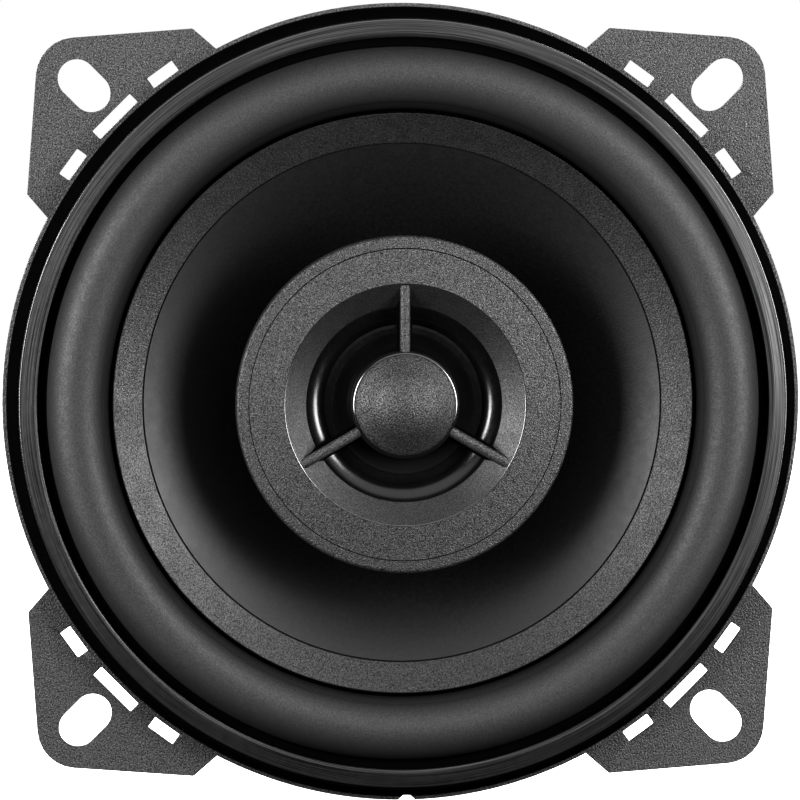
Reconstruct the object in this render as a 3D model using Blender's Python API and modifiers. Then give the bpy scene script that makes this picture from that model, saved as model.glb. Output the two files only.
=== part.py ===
"""Coaxial car speaker of the 10 cm class.

A stamped steel basket with four slotted ears carries a cone on a rubber half roll and a corrugated
spider, a ferrite motor, and a small tweeter on a hollow post that runs through the pole.

Every piece is modelled about the speaker's own axis: x to the right, y up and z forward, towards the
listener, with z = 0 in the rear plane of the ears. One empty stands that axis level, so that the speaker
faces world -Y and world +Z is up.
"""

import math

import bmesh
import bpy
from mathutils import Matrix, Vector

MM = 0.001

# Driving dimensions
GAP = 0.3 * MM  # left between pieces that touch
SHEET = 1.0 * MM  # thickness of the basket's steel
SHARP_ANGLE = math.radians(35)
RIM_RADIUS = 52.0 * MM
MOUNTING_DEPTH = 43.0 * MM  # from the ears' rear plane to the back of the motor
LANDING_Z = 3.0 * MM  # front of the rim, where the surround is glued
SHELF_Z = -14.0 * MM  # front of the step that the spider is glued to
FLOOR_Z = -21.6 * MM  # front of the basket's floor
CUP_RADIUS = 24.8 * MM  # inside of the cup under the spider
SHELF_RADIUS = 33.4 * MM
SLOPE_TOP = (44.5 * MM, -4.0 * MM)  # radius and z where the basket's slope meets its side
FLOOR_HOLE = 12.6 * MM
FRAME_RIVET_HOLE = 1.8 * MM

# Ears
EAR_CORNER = 47.2 * MM  # x and y of an ear's corner before it is rounded
EAR_CORNER_RADIUS = 5.1 * MM
EAR_SHOULDER = (27.2 * MM, 48.7 * MM)
EAR_ROOT = (23.45 * MM, 45.45 * MM)
EAR_OVERLAP_RADIUS = 51.15 * MM
SLOT_SPACING = 82.6 * MM  # slot centres, along x and along y
SLOT_WIDTH = 5.0 * MM
SLOT_LENGTH = 7.7 * MM
LONG_PERFORATION = (6.9 * MM, 1.5 * MM, 52.75 * MM)  # length, width, distance from the axis
SHORT_PERFORATION = (4.0 * MM, 1.6 * MM, 52.85 * MM)
SHORT_PERFORATION_ANGLE = math.radians(9.0)  # from the ear's diagonal
NOTCH_WIDTH = 2.35 * MM  # at the rim's edge
NOTCH_INNER_WIDTH = 0.9 * MM
NOTCH_DEPTH = 0.65 * MM
NOTCH_X = 0.65 * MM

# Basket windows
WINDOW_WIDTH = 40.0 * MM
WINDOW_LOW_Z = -12.6 * MM
WINDOW_HIGH_Z = -4.6 * MM
WINDOW_CORNER = 2.5 * MM

# Cone and its suspension
CONE_RADIUS = 37.8 * MM
CREASE_RADIUS = 33.8 * MM
NECK_RADIUS = 10.6 * MM
CONE_RIM_Z = 3.9 * MM
CREASE_Z = 2.1 * MM
NECK_Z = -12.4 * MM
CONE_SHEET = 0.6 * MM
CONE_CURVE = 0.78
ROLL_OUTER = 46.9 * MM
ROLL_INNER = 38.2 * MM
ROLL_CREST_Z = 7.3 * MM
SURROUND_OUTER = 49.9 * MM
SURROUND_SHEET = 0.6 * MM
SPIDER_OUTER = 29.0 * MM
SPIDER_FREE_OUTER = 25.4 * MM
SPIDER_FREE_INNER = 12.2 * MM
SPIDER_WAVES = 3
SPIDER_WAVE_HEIGHT = 0.7 * MM
SPIDER_SHEET = 0.4 * MM
SEAL_SHEET = 0.4 * MM
TRIM_INNER = 47.9 * MM
TRIM_OUTER = 50.0 * MM
TRIM_REAR = 4.2 * MM
TRIM_FRONT = 5.4 * MM

# Motor
PLATE_RADIUS = 31.0 * MM
MAGNET_RADIUS = 35.0 * MM
MAGNET_HOLE = 15.0 * MM
TOP_PLATE_FRONT = -22.9 * MM
TOP_PLATE_REAR = -26.7 * MM
MAGNET_FRONT = TOP_PLATE_REAR - GAP
MAGNET_REAR = -38.7 * MM
BACK_PLATE_FRONT = MAGNET_REAR - GAP
BACK_PLATE_REAR = -MOUNTING_DEPTH
POLE_RADIUS = 9.5 * MM
POLE_FRONT = -22.3 * MM
PLATE_HOLE = 11.4 * MM
FORMER_RADIUS = 9.9 * MM
FORMER_SHEET = 0.3 * MM
COIL_INNER = 10.35 * MM
COIL_OUTER = 10.95 * MM
COIL_HEIGHT = 7.4 * MM
COIL_FRONT = -20.8 * MM
RIVET_CIRCLE = 18.5 * MM
RIVET_HEAD_HEIGHT = 0.9 * MM
TOP_PLATE_EDGE = 0.4 * MM
MAGNET_EDGE = 0.8 * MM
BACK_PLATE_EDGE = 0.6 * MM
POLE_EDGE = 0.5 * MM
COLLAR_RADIUS = 5.0 * MM
COLLAR_HEIGHT = 1.2 * MM
WASHER_RADIUS = 6.2 * MM
WASHER_SHEET = 0.8 * MM
NUT_ACROSS_FLATS = 10.0 * MM

# Tweeter
POST_RADIUS = 3.1 * MM
POST_BORE = 1.6 * MM
POST_HOLE = 3.4 * MM
POST_FRONT = -6.3 * MM
NUT_POCKET_RADIUS = 7.0 * MM
NUT_POCKET_FLOOR = -39.8 * MM
HOUSING_RADIUS = 21.95 * MM
SOCKET_RADIUS = 3.3 * MM  # the housing's socket for the post
SOCKET_FLOOR = -6.0 * MM
SOCKET_MOUTH = -9.0 * MM
CHAMBER_RADIUS = 10.9 * MM  # the housing's chamber for the tweeter's motor
CHAMBER_FLOOR = -4.4 * MM
CHAMBER_MOUTH = 2.6 * MM
LEDGE_RADIUS = 13.4 * MM
LEDGE_Z = 5.0 * MM
BEZEL_RADIUS = 20.2 * MM
BEZEL_REAR = 5.3 * MM
BEZEL_LIP = (13.1 * MM, 4.8 * MM)  # outer radius and rear of the lip that holds the tweeter's film
FACE_Z = 7.2 * MM
BEVEL_RADIUS = 15.7 * MM
MOUTH_RADIUS = 12.75 * MM
MOUTH_Z = 5.4 * MM
CAP_RADIUS = 7.05 * MM
CAP_UNDER_Z = 6.4 * MM
CAP_EDGE_Z = 7.3 * MM
CAP_TOP_Z = 10.4 * MM
CAP_SHOULDER = (4.3 * MM, 9.1 * MM)  # radius and z where the cap's round top meets its flank
SPOKE_ANGLES = (90, 210, 330)
SPOKE_START = 5.55 * MM
SPOKE_END = 15.5 * MM
SPOKE_TOP_Z = 7.6 * MM
SPOKE_UNDER_Z = 5.5 * MM
SPOKE_TOP_WIDTH = 1.5 * MM
SPOKE_FOOT_WIDTH = 2.3 * MM
CUP_WALL = (7.7 * MM, 10.6 * MM)  # inner and outer radius of the tweeter's yoke
CUP_FRONT = 2.2 * MM
CUP_FLOOR = -2.4 * MM
CUP_REAR = -4.1 * MM
DOME_VALLEY = 7.2 * MM
DOME_RISE = 1.6 * MM
DOME_FILM = 0.25 * MM
DOME_FOOT_Z = 4.15 * MM

# Terminals, below the motor's middle
BOARD_SIZE = (21.0 * MM, 12.0 * MM, 1.6 * MM)
BOARD_CENTRE_Y = -35.0 * MM
BOARD_FRONT = SHELF_Z - SHEET - GAP
BOARD_REAR = BOARD_FRONT - BOARD_SIZE[2]
BOARD_RIVET = (6.5 * MM, -30.3 * MM)
BOARD_RIVET_HOLE = 1.5 * MM
TAB_RIVET_HOLE = 1.2 * MM
TAB_X = 6.0 * MM
TAB_RIVET_Y = -36.4 * MM
TAB_SHEET = 0.8 * MM
TAB_WIDTHS = {"positive": 6.3 * MM, "negative": 4.8 * MM}
TAB_SIDES = {"positive": 1, "negative": -1}
CAPACITOR_PLACE = (-33.9 * MM, -21.7 * MM)  # y and z of its axis
CAPACITOR_RADIUS = 2.5 * MM
CAPACITOR_LENGTH = 11.0 * MM
CAPACITOR_EDGE = 0.5 * MM
LEAD_RADIUS = 0.6 * MM
LEAD_ENDS = {  # millimetres
    "positive": [
        (4.4, -36.7, -25.2),
        (8.0, -36.4, -23.4),
        (8.8, -34.9, -22.0),
        (7.6, -33.9, -21.7),
        (6.4, -33.9, -21.7),
    ],
    "negative": [(-3.6, -38.0, -24.6), (-5.4, -39.6, -22.4), (-5.9, -38.9, -20.6), (-6.0, -37.4, -19.9)],
}
TINSEL_RADIUS = 0.45 * MM
TINSEL_ROUTE = [  # the positive one, in millimetres
    (6.0, -36.4, -14.05),
    (6.0, -38.0, -13.0),
    (6.0, -38.7, -11.0),
    (5.9, -36.8, -9.0),
    (5.6, -32.0, -7.7),
    (5.2, -26.5, -7.6),
    (5.0, -22.6, -6.9),
    (4.9, -20.8, -6.4),
]


def clear_scene():
    for thing in list(bpy.data.objects):
        bpy.data.objects.remove(thing, do_unlink=True)


def new_collection(name):
    collection = bpy.data.collections.new(name)
    bpy.context.scene.collection.children.link(collection)
    return collection


def finish(name, colour, roughness, metallic=0.0):
    """A plain Principled material."""
    material = bpy.data.materials.new(name)
    material.use_nodes = True
    shader = material.node_tree.nodes["Principled BSDF"]
    shader.inputs["Base Color"].default_value = (*colour, 1.0)
    shader.inputs["Roughness"].default_value = roughness
    shader.inputs["Metallic"].default_value = metallic
    return material


def new_empty(name, parent=None):
    empty = bpy.data.objects.new(name, None)
    PARTS.objects.link(empty)
    empty.parent = parent
    return empty


def place(name, mesh, material, parent):
    """A part when it has a material, or else a cutter."""
    thing = bpy.data.objects.new(name, mesh)
    thing.parent = parent
    if material:
        mesh.materials.append(material)
        PARTS.objects.link(thing)
    else:
        thing.hide_render = True
        thing.display_type = "WIRE"
        CUTTERS.objects.link(thing)
    return thing


# Outlines


def clockwise(points):
    """A closed outline in the order that makes a turned shape face outwards."""
    pairs = zip(points, points[1:] + points[:1])
    area = sum(x0 * z1 - x1 * z0 for (x0, z0), (x1, z1) in pairs)
    return points if area < 0 else points[::-1]


def arc(centre, radius, start, end, steps):
    """Points from angle start to angle end in degrees; radius is a number or (x radius, z radius)."""
    across, along = radius if isinstance(radius, tuple) else (radius, radius)
    points = []
    for step in range(steps + 1):
        angle = math.radians(start + (end - start) * step / steps)
        points.append((centre[0] + across * math.cos(angle), centre[1] + along * math.sin(angle)))
    return points


def thickened(line, thickness):
    """A closed outline round a line of sheet that lies thickness behind it, with mitred corners."""
    back = []
    last = len(line) - 1
    for index, point in enumerate(line):
        before = Vector(line[max(index - 1, 0)])
        after = Vector(line[min(index + 1, last)])
        here = Vector(point)
        normals = [Vector((d.y, -d.x)).normalized() for d in (here - before, after - here) if d.length]
        middle = sum(normals, Vector((0, 0))).normalized()
        back.append(tuple(here + middle * thickness / middle.dot(normals[0])))
    return line + back[::-1]


def rounded_outline(corners, radii, steps=4):
    """A closed outline in which each corner is rounded to its own radius, 0 for a sharp one."""
    points = []
    for index, (corner, radius) in enumerate(zip(corners, radii)):
        here = Vector(corner)
        before = (Vector(corners[index - 1]) - here).normalized()
        after = (Vector(corners[(index + 1) % len(corners)]) - here).normalized()
        if not radius:
            points.append(tuple(here))
            continue
        half = before.angle(after) / 2
        centre = here + (before + after).normalized() * radius / math.sin(half)
        first = here + before * radius / math.tan(half) - centre
        second = here + after * radius / math.tan(half) - centre
        turn = first.angle_signed(second)
        points += [tuple(centre + Matrix.Rotation(-turn * k / steps, 2) @ first) for k in range(steps + 1)]
    return points


def rectangle(width, height, radius=0.0):
    half_width = width / 2
    half_height = height / 2
    corners = [
        (-half_width, -half_height),
        (half_width, -half_height),
        (half_width, half_height),
        (-half_width, half_height),
    ]
    return rounded_outline(corners, [radius] * 4)


def obround(length, width):
    half = (length - width) / 2
    return arc((half, 0), width / 2, -90, 90, 6) + arc((-half, 0), width / 2, 90, 270, 6)


def smooth_route(points, steps=3):
    """A Catmull-Rom curve through the given points."""
    ends = [2 * Vector(points[0]) - Vector(points[1]), 2 * Vector(points[-1]) - Vector(points[-2])]
    knots = [ends[0]] + [Vector(point) for point in points] + [ends[1]]
    route = []
    for a, b, c, d in zip(knots, knots[1:], knots[2:], knots[3:]):
        for step in range(steps):
            t = step / steps
            bend = (2 * a - 5 * b + 4 * c - d) * t**2 + (3 * b - a - 3 * c + d) * t**3
            route.append(0.5 * (2 * b + (c - a) * t + bend))
    return route + [knots[-2]]


# Solids


def turned(name, outline, material=None, parent=None, segments=40):
    """A solid of revolution; an outline that starts and ends on the axis is left open there."""
    on_axis = outline[0][0] == 0 and outline[-1][0] == 0
    points = outline if on_axis else clockwise(outline)
    edges = [(index, index + 1) for index in range(len(points) - 1)]
    if not on_axis:
        edges.append((len(points) - 1, 0))
    mesh = bpy.data.meshes.new(name)
    mesh.from_pydata([(x, 0, z) for x, z in points], edges, [])
    thing = place(name, mesh, material, parent or AXIS)
    screw = thing.modifiers.new("turn", "SCREW")
    screw.axis = "Z"
    screw.steps = segments
    screw.render_steps = segments
    screw.use_merge_vertices = True
    screw.merge_threshold = 0.01 * MM
    return thing


def ring(name, inner, outer, rear, front, material=None, parent=None, segments=40, edge=0.0):
    """A turned washer shape with its outer edges bevelled by edge."""
    outline = [(inner, front), (outer, front), (outer, rear), (inner, rear)]
    if edge:
        outline[1:2] = [(outer - edge, front), (outer, front - edge)]
        outline[-2:-1] = [(outer, rear + edge), (outer - edge, rear)]
    return turned(name, outline, material, parent, segments)


def disc(name, radius, rear, front, material=None, parent=None, segments=32):
    return turned(name, [(0, front), (radius, front), (radius, rear), (0, rear)], material, parent, segments)


def curve_mesh(name, curve):
    """The closed mesh of a curve, with its caps welded on."""
    guide = bpy.data.objects.new(name, curve)
    CUTTERS.objects.link(guide)
    bpy.context.view_layer.update()
    mesh = bpy.data.meshes.new_from_object(guide.evaluated_get(bpy.context.evaluated_depsgraph_get()))
    bpy.data.objects.remove(guide)
    bpy.data.curves.remove(curve)
    welded = bmesh.new()
    welded.from_mesh(mesh)
    bmesh.ops.remove_doubles(welded, verts=welded.verts, dist=0.001 * MM)
    bmesh.ops.recalc_face_normals(welded, faces=welded.faces)
    welded.to_mesh(mesh)
    welded.free()
    return mesh


def prism(name, outlines, low, high, material=None, parent=None, matrix=None):
    """Flat outlines, the first with the others as its holes, raised from low to high along z."""
    curve = bpy.data.curves.new(name, "CURVE")
    curve.dimensions = "2D"
    curve.fill_mode = "BOTH"
    curve.extrude = (high - low) / 2
    for outline in outlines:
        spline = curve.splines.new("POLY")
        spline.points.add(len(outline) - 1)
        spline.use_cyclic_u = True
        for point, (x, y) in zip(spline.points, outline):
            point.co = (x, y, 0, 1)
    mesh = curve_mesh(name, curve)
    mesh.transform(Matrix.Translation((0, 0, (low + high) / 2)))
    if matrix:
        mesh.transform(matrix)
    return place(name, mesh, material, parent or AXIS)


def wire(name, points, radius, material, parent=None):
    """A round wire along a smooth route through the points."""
    curve = bpy.data.curves.new(name, "CURVE")
    curve.dimensions = "3D"
    curve.bevel_depth = radius
    curve.bevel_resolution = 2
    curve.use_fill_caps = True
    route = smooth_route(points)
    spline = curve.splines.new("POLY")
    spline.points.add(len(route) - 1)
    for point, place_on_route in zip(spline.points, route):
        point.co = (*place_on_route, 1)
    return place(name, curve_mesh(name, curve), material, parent or AXIS)


def combine(target, tool, operation="DIFFERENCE"):
    modifier = target.modifiers.new(tool.name, "BOOLEAN")
    modifier.operation = operation
    modifier.solver = "EXACT"
    modifier.object = tool


def settle(part):
    """Applies a part's modifiers and shades it smooth between its edges."""
    material = part.data.materials[0]
    graph = bpy.context.evaluated_depsgraph_get()
    mesh = bpy.data.meshes.new_from_object(part.evaluated_get(graph))
    mesh.materials.clear()
    mesh.materials.append(material)
    mesh.shade_smooth()
    mesh.set_sharp_from_angle(angle=SHARP_ANGLE)
    part.modifiers.clear()
    part.data = mesh


def radial_frame(angle):
    """Turns a prism so that its x runs round the speaker, its y forward and its z outwards, at an angle."""
    outwards = Vector((math.cos(angle), math.sin(angle), 0))
    around = Vector((-math.sin(angle), math.cos(angle), 0))
    return Matrix((around, Vector((0, 0, 1)), outwards)).transposed().to_4x4()


def turn(angle):
    return Matrix.Rotation(angle, 4, "Z")


def shift(x, y, z=0.0):
    return Matrix.Translation((x, y, z))


# Basket


def basket_outline():
    """Section through the drawn sheet: rim, landing, side, slope, spider shelf, cup and floor."""
    front = [
        (FLOOR_HOLE, FLOOR_Z),
        (CUP_RADIUS, FLOOR_Z),
        (CUP_RADIUS, SHELF_Z),
        (SHELF_RADIUS, SHELF_Z),
        SLOPE_TOP,
        (45.6 * MM, LANDING_Z - 0.8 * MM),
        (46.2 * MM, LANDING_Z),
        (50.1 * MM, LANDING_Z),
        (51.5 * MM, SHEET),
        (RIM_RADIUS, SHEET),
    ]
    rear = [
        (RIM_RADIUS, 0.0),
        (50.7 * MM, 0.0),
        (49.5 * MM, LANDING_Z - SHEET),
        (46.8 * MM, LANDING_Z - SHEET),
        (SLOPE_TOP[0] + 0.9 * MM, SLOPE_TOP[1] - 0.9 * MM),
        (SHELF_RADIUS + 0.7 * MM, SHELF_Z - SHEET),
        (CUP_RADIUS + SHEET, SHELF_Z - SHEET),
        (CUP_RADIUS + SHEET, FLOOR_Z - SHEET),
        (FLOOR_HOLE, FLOOR_Z - SHEET),
    ]
    return front + rear


def ear_outline():
    """An ear's plate in the upper right quarter, reaching into the rim's own sheet."""
    shoulder_x, shoulder_y = EAR_SHOULDER
    root_x, root_y = EAR_ROOT
    corners = [(root_y, root_x), (shoulder_y, shoulder_x), (EAR_CORNER, EAR_CORNER), (shoulder_x, shoulder_y)]
    radii = [0.0, 0.4 * MM, EAR_CORNER_RADIUS, 0.4 * MM]
    outer = rounded_outline(corners + [(root_x, root_y)], radii + [0.0])
    end = math.degrees(math.atan2(root_y, root_x))
    inner = arc((0, 0), EAR_OVERLAP_RADIUS, end, 90 - end, 8)
    return outer + inner[1:-1]


def ear_cutters(diagonal):
    """The slot and the three perforations of the ear on a diagonal."""
    outwards = turn(diagonal)
    slot_distance = SLOT_SPACING / 2 * math.sqrt(2)
    holes = [(obround(SLOT_LENGTH, SLOT_WIDTH), outwards @ shift(slot_distance, 0))]
    length, width, distance = LONG_PERFORATION
    holes.append((rectangle(width, length), outwards @ shift(distance, 0)))
    length, width, distance = SHORT_PERFORATION
    for side in (-1, 1):
        way = turn(diagonal + side * SHORT_PERFORATION_ANGLE)
        holes.append((rectangle(width, length), way @ shift(distance, 0)))
    return [prism("ear_cut", [outline], -SHEET, 2 * SHEET, matrix=matrix) for outline, matrix in holes]


def notch_cutter():
    bottom = -RIM_RADIUS - SHEET
    outer = NOTCH_WIDTH / 2
    inner = NOTCH_INNER_WIDTH / 2
    outline = [
        (NOTCH_X - outer, bottom),
        (NOTCH_X + outer, bottom),
        (NOTCH_X + outer, -RIM_RADIUS),
        (NOTCH_X + inner, -RIM_RADIUS + NOTCH_DEPTH),
        (NOTCH_X - inner, -RIM_RADIUS + NOTCH_DEPTH),
        (NOTCH_X - outer, -RIM_RADIUS),
    ]
    return prism("notch_cut", [outline], -SHEET, 2 * SHEET)


def make_basket():
    basket = turned("basket", basket_outline(), STEEL)
    for quarter in range(4):
        ear = prism("ear_plate", [ear_outline()], 0.0, SHEET, matrix=turn(quarter * math.pi / 2))
        combine(basket, ear, "UNION")
    height = WINDOW_HIGH_Z - WINDOW_LOW_Z
    window = rectangle(WINDOW_WIDTH, height, WINDOW_CORNER)
    middle = shift(0, (WINDOW_HIGH_Z + WINDOW_LOW_Z) / 2)
    for quarter in range(4):
        angle = quarter * math.pi / 2
        window_place = radial_frame(angle) @ middle
        combine(basket, prism("window_cut", [window], CUP_RADIUS, 60 * MM, matrix=window_place))
        for cutter in ear_cutters(angle + math.pi / 4):
            combine(basket, cutter)
        centre = turn(angle + math.pi / 4) @ shift(RIVET_CIRCLE, 0)
        combine(basket, round_cutter(FRAME_RIVET_HOLE, FLOOR_Z - 2 * SHEET, FLOOR_Z + SHEET, centre))
    for side in (-1, 1):
        centre = shift(side * BOARD_RIVET[0], BOARD_RIVET[1])
        combine(basket, round_cutter(BOARD_RIVET_HOLE, SHELF_Z - 2 * SHEET, SHELF_Z + SHEET, centre))
    combine(basket, notch_cutter())


def round_cutter(radius, low, high, matrix):
    """A round cutter with its axis at a place beside the speaker's axis."""
    return prism("round_cut", [arc((0, 0), radius, 0, 330, 11)], low, high, matrix=matrix)


def rivet(name, head_radius, shank_radius, rear, front, head, material, matrix):
    """A riveted pin with a head at each end."""
    outline = [
        (0, front + head),
        (head_radius - head / 2, front + head),
        (head_radius, front),
        (shank_radius, front),
        (shank_radius, rear),
        (head_radius, rear),
        (head_radius - head / 2, rear - head),
        (0, rear - head),
    ]
    thing = turned(name, outline, material, segments=12)
    thing.matrix_local = matrix
    return thing


# Cone and suspension


def make_cone():
    """Steep at the neck and flatter towards the crease, with a straight outer band."""
    steps = 5
    line = []
    for step in range(steps + 1):
        share = step / steps
        radius = NECK_RADIUS + (CREASE_RADIUS - NECK_RADIUS) * share
        line.append((radius, NECK_Z + (CREASE_Z - NECK_Z) * share**CONE_CURVE))
    line.append((CONE_RADIUS, CONE_RIM_Z))
    turned("cone", thickened(line, CONE_SHEET), CONE_PULP, CONE_SLIDE)


def make_surround():
    land_z = LANDING_Z + GAP + SURROUND_SHEET
    foot_z = CONE_RIM_Z - CONE_SHEET - GAP
    middle = (ROLL_OUTER + ROLL_INNER) / 2
    half = (ROLL_OUTER - ROLL_INNER) / 2
    outer_half = arc((middle, land_z), (half, ROLL_CREST_Z - land_z), 0, 90, 4)
    inner_half = arc((middle, foot_z - 0.3 * MM), (half, ROLL_CREST_Z - foot_z + 0.3 * MM), 90, 180, 4)
    inner_land = [(ROLL_INNER - 3.5 * MM, foot_z - 2.2 * MM)]
    line = [(SURROUND_OUTER, land_z)] + outer_half + inner_half[1:] + inner_land
    turned("surround", thickened(line[::-1], SURROUND_SHEET), RUBBER)


def make_spider():
    half_waves = 2 * SPIDER_WAVES
    pitch = (SPIDER_FREE_OUTER - SPIDER_FREE_INNER) / half_waves
    level = SHELF_Z + GAP + SPIDER_SHEET
    line = [(NECK_RADIUS + 0.1 * MM, level), (SPIDER_FREE_INNER, level)]
    for fold in range(1, half_waves):
        height = -SPIDER_WAVE_HEIGHT if fold % 2 else SPIDER_WAVE_HEIGHT
        line.append((SPIDER_FREE_INNER + fold * pitch, level + height))
    line += [(SPIDER_FREE_OUTER, level), (SPIDER_OUTER, level)]
    turned("spider", thickened(line, SPIDER_SHEET), SPIDER_CLOTH, segments=32)


def make_cone_group():
    make_cone()
    former_front = NECK_Z + 0.2 * MM
    former_outer = FORMER_RADIUS + FORMER_SHEET
    coil_rear = COIL_FRONT - COIL_HEIGHT
    ring("voice_coil_former", FORMER_RADIUS, former_outer, coil_rear, former_front, FILM, CONE_SLIDE, 32)
    ring("voice_coil", COIL_INNER, COIL_OUTER, coil_rear, COIL_FRONT, COPPER, CONE_SLIDE, 32)
    seal = [(6.2 * MM, -10.2 * MM), (8.2 * MM, -9.5 * MM), (10.4 * MM, -9.6 * MM), (12.2 * MM, -10.5 * MM)]
    turned("dust_seal", thickened(seal, SEAL_SHEET), FELT, CONE_SLIDE, 28)


# Motor


def make_motor():
    ring("top_plate", PLATE_HOLE, PLATE_RADIUS, TOP_PLATE_REAR, TOP_PLATE_FRONT, ZINC, edge=TOP_PLATE_EDGE)
    ring("magnet", MAGNET_HOLE, MAGNET_RADIUS, MAGNET_REAR, MAGNET_FRONT, FERRITE, edge=MAGNET_EDGE)
    yoke = [
        (POST_HOLE, POLE_FRONT),
        (POLE_RADIUS - POLE_EDGE, POLE_FRONT),
        (POLE_RADIUS, POLE_FRONT - POLE_EDGE),
        (POLE_RADIUS, BACK_PLATE_FRONT),
        (PLATE_RADIUS, BACK_PLATE_FRONT),
        (PLATE_RADIUS, BACK_PLATE_REAR + BACK_PLATE_EDGE),
        (PLATE_RADIUS - BACK_PLATE_EDGE, BACK_PLATE_REAR),
        (NUT_POCKET_RADIUS, BACK_PLATE_REAR),
        (NUT_POCKET_RADIUS, NUT_POCKET_FLOOR),
        (POST_HOLE, NUT_POCKET_FLOOR),
    ]
    turned("yoke", yoke, ZINC)
    head_seat = FLOOR_Z + GAP
    head_top = head_seat + RIVET_HEAD_HEIGHT
    shank = FRAME_RIVET_HOLE - GAP
    shank_end = TOP_PLATE_FRONT + GAP
    pin_outline = [
        (0, head_top),
        (2.2 * MM, head_top),
        (2.8 * MM, head_seat),
        (shank, head_seat),
        (shank, shank_end),
        (0, shank_end),
    ]
    for number in range(4):
        pin = turned(f"frame_rivet_{number + 1}", pin_outline, ZINC, segments=12)
        pin.matrix_local = turn((number + 0.5) * math.pi / 2) @ shift(RIVET_CIRCLE, 0)


# Tweeter


def make_post():
    collar_rear = POLE_FRONT + GAP
    collar_front = collar_rear + COLLAR_HEIGHT
    post_rear = BACK_PLATE_REAR + GAP
    outline = [
        (POST_BORE, POST_FRONT),
        (POST_RADIUS, POST_FRONT),
        (POST_RADIUS, collar_front),
        (COLLAR_RADIUS, collar_front),
        (COLLAR_RADIUS, collar_rear),
        (POST_RADIUS, collar_rear),
        (POST_RADIUS, post_rear),
        (POST_BORE, post_rear),
    ]
    turned("tweeter_post", outline, ZINC, segments=16)
    washer_rear = NUT_POCKET_FLOOR - GAP - WASHER_SHEET
    ring("post_washer", POST_HOLE, WASHER_RADIUS, washer_rear, washer_rear + WASHER_SHEET, ZINC, segments=20)
    hexagon = arc((0, 0), NUT_ACROSS_FLATS / math.sqrt(3), 0, 300, 5)
    hole = arc((0, 0), POST_HOLE, 0, 345, 23)
    prism("post_nut", [hexagon, hole], BACK_PLATE_REAR, washer_rear - GAP, ZINC)


def make_housing():
    wire_hole = POST_BORE + 0.2 * MM
    outline = [
        (BEZEL_RADIUS + GAP, FACE_Z + 0.1 * MM),
        (HOUSING_RADIUS - 0.4 * MM, FACE_Z + 0.2 * MM),
        (HOUSING_RADIUS, FACE_Z - 0.2 * MM),
        (HOUSING_RADIUS, 4.6 * MM),
        (21.3 * MM, 3.9 * MM),
        (15.2 * MM, 1.6 * MM),
        (13.0 * MM, -0.4 * MM),
        (12.2 * MM, -4.6 * MM),
        (11.4 * MM, -5.6 * MM),
        (5.0 * MM, -5.6 * MM),
        (5.0 * MM, SOCKET_MOUTH),
        (SOCKET_RADIUS, SOCKET_MOUTH),
        (SOCKET_RADIUS, SOCKET_FLOOR),
        (wire_hole, SOCKET_FLOOR),
        (wire_hole, CHAMBER_FLOOR),
        (CHAMBER_RADIUS, CHAMBER_FLOOR),
        (CHAMBER_RADIUS, CHAMBER_MOUTH),
        (LEDGE_RADIUS, CHAMBER_MOUTH),
        (LEDGE_RADIUS, LEDGE_Z),
        (BEZEL_RADIUS + GAP, LEDGE_Z),
    ]
    turned("tweeter_housing", outline, PLASTIC, segments=28)


def make_bezel():
    lip_radius, lip_rear = BEZEL_LIP
    outline = [
        (MOUTH_RADIUS, MOUTH_Z),
        (BEVEL_RADIUS, FACE_Z),
        (BEZEL_RADIUS, FACE_Z),
        (BEZEL_RADIUS, BEZEL_REAR),
        (lip_radius, BEZEL_REAR),
        (lip_radius, lip_rear),
        (MOUTH_RADIUS, lip_rear),
    ]
    bezel = turned("tweeter_bezel", outline, PLASTIC)
    dome = [(0, CAP_TOP_Z), (2.4 * MM, 10.0 * MM), CAP_SHOULDER, (CAP_RADIUS, CAP_EDGE_Z)]
    under = [(CAP_RADIUS, CAP_UNDER_Z + 0.2 * MM), (CAP_RADIUS - 0.3 * MM, CAP_UNDER_Z), (0, CAP_UNDER_Z)]
    cap = turned("cap_join", dome + under, segments=32)
    for degrees in SPOKE_ANGLES:
        section = [
            (-SPOKE_FOOT_WIDTH / 2, SPOKE_UNDER_Z),
            (SPOKE_FOOT_WIDTH / 2, SPOKE_UNDER_Z),
            (SPOKE_TOP_WIDTH / 2, SPOKE_TOP_Z),
            (-SPOKE_TOP_WIDTH / 2, SPOKE_TOP_Z),
        ]
        outwards = radial_frame(math.radians(degrees))
        spoke = prism("spoke_join", [section], SPOKE_START, SPOKE_END, matrix=outwards)
        combine(cap, spoke, "UNION")
    combine(bezel, cap, "UNION")


def make_tweeter_motor():
    inner, outer = CUP_WALL
    cup = [
        (0, CUP_FLOOR),
        (inner, CUP_FLOOR),
        (inner, CUP_FRONT),
        (outer, CUP_FRONT),
        (outer, CUP_REAR),
        (0, CUP_REAR),
    ]
    turned("tweeter_yoke", cup, ZINC, segments=32)
    disc("tweeter_magnet", 5.4 * MM, CUP_FLOOR + GAP, 0.6 * MM, NICKEL)
    disc("tweeter_pole_plate", 6.0 * MM, 0.9 * MM, CUP_FRONT, ZINC)
    ring("tweeter_frame", 9.0 * MM, 13.1 * MM, 2.9 * MM, 3.6 * MM, PLASTIC, segments=28)
    ring("tweeter_voice_coil", 6.5 * MM, 7.1 * MM, -0.6 * MM, 2.9 * MM, COPPER, DOME_SLIDE, 32)


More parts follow.
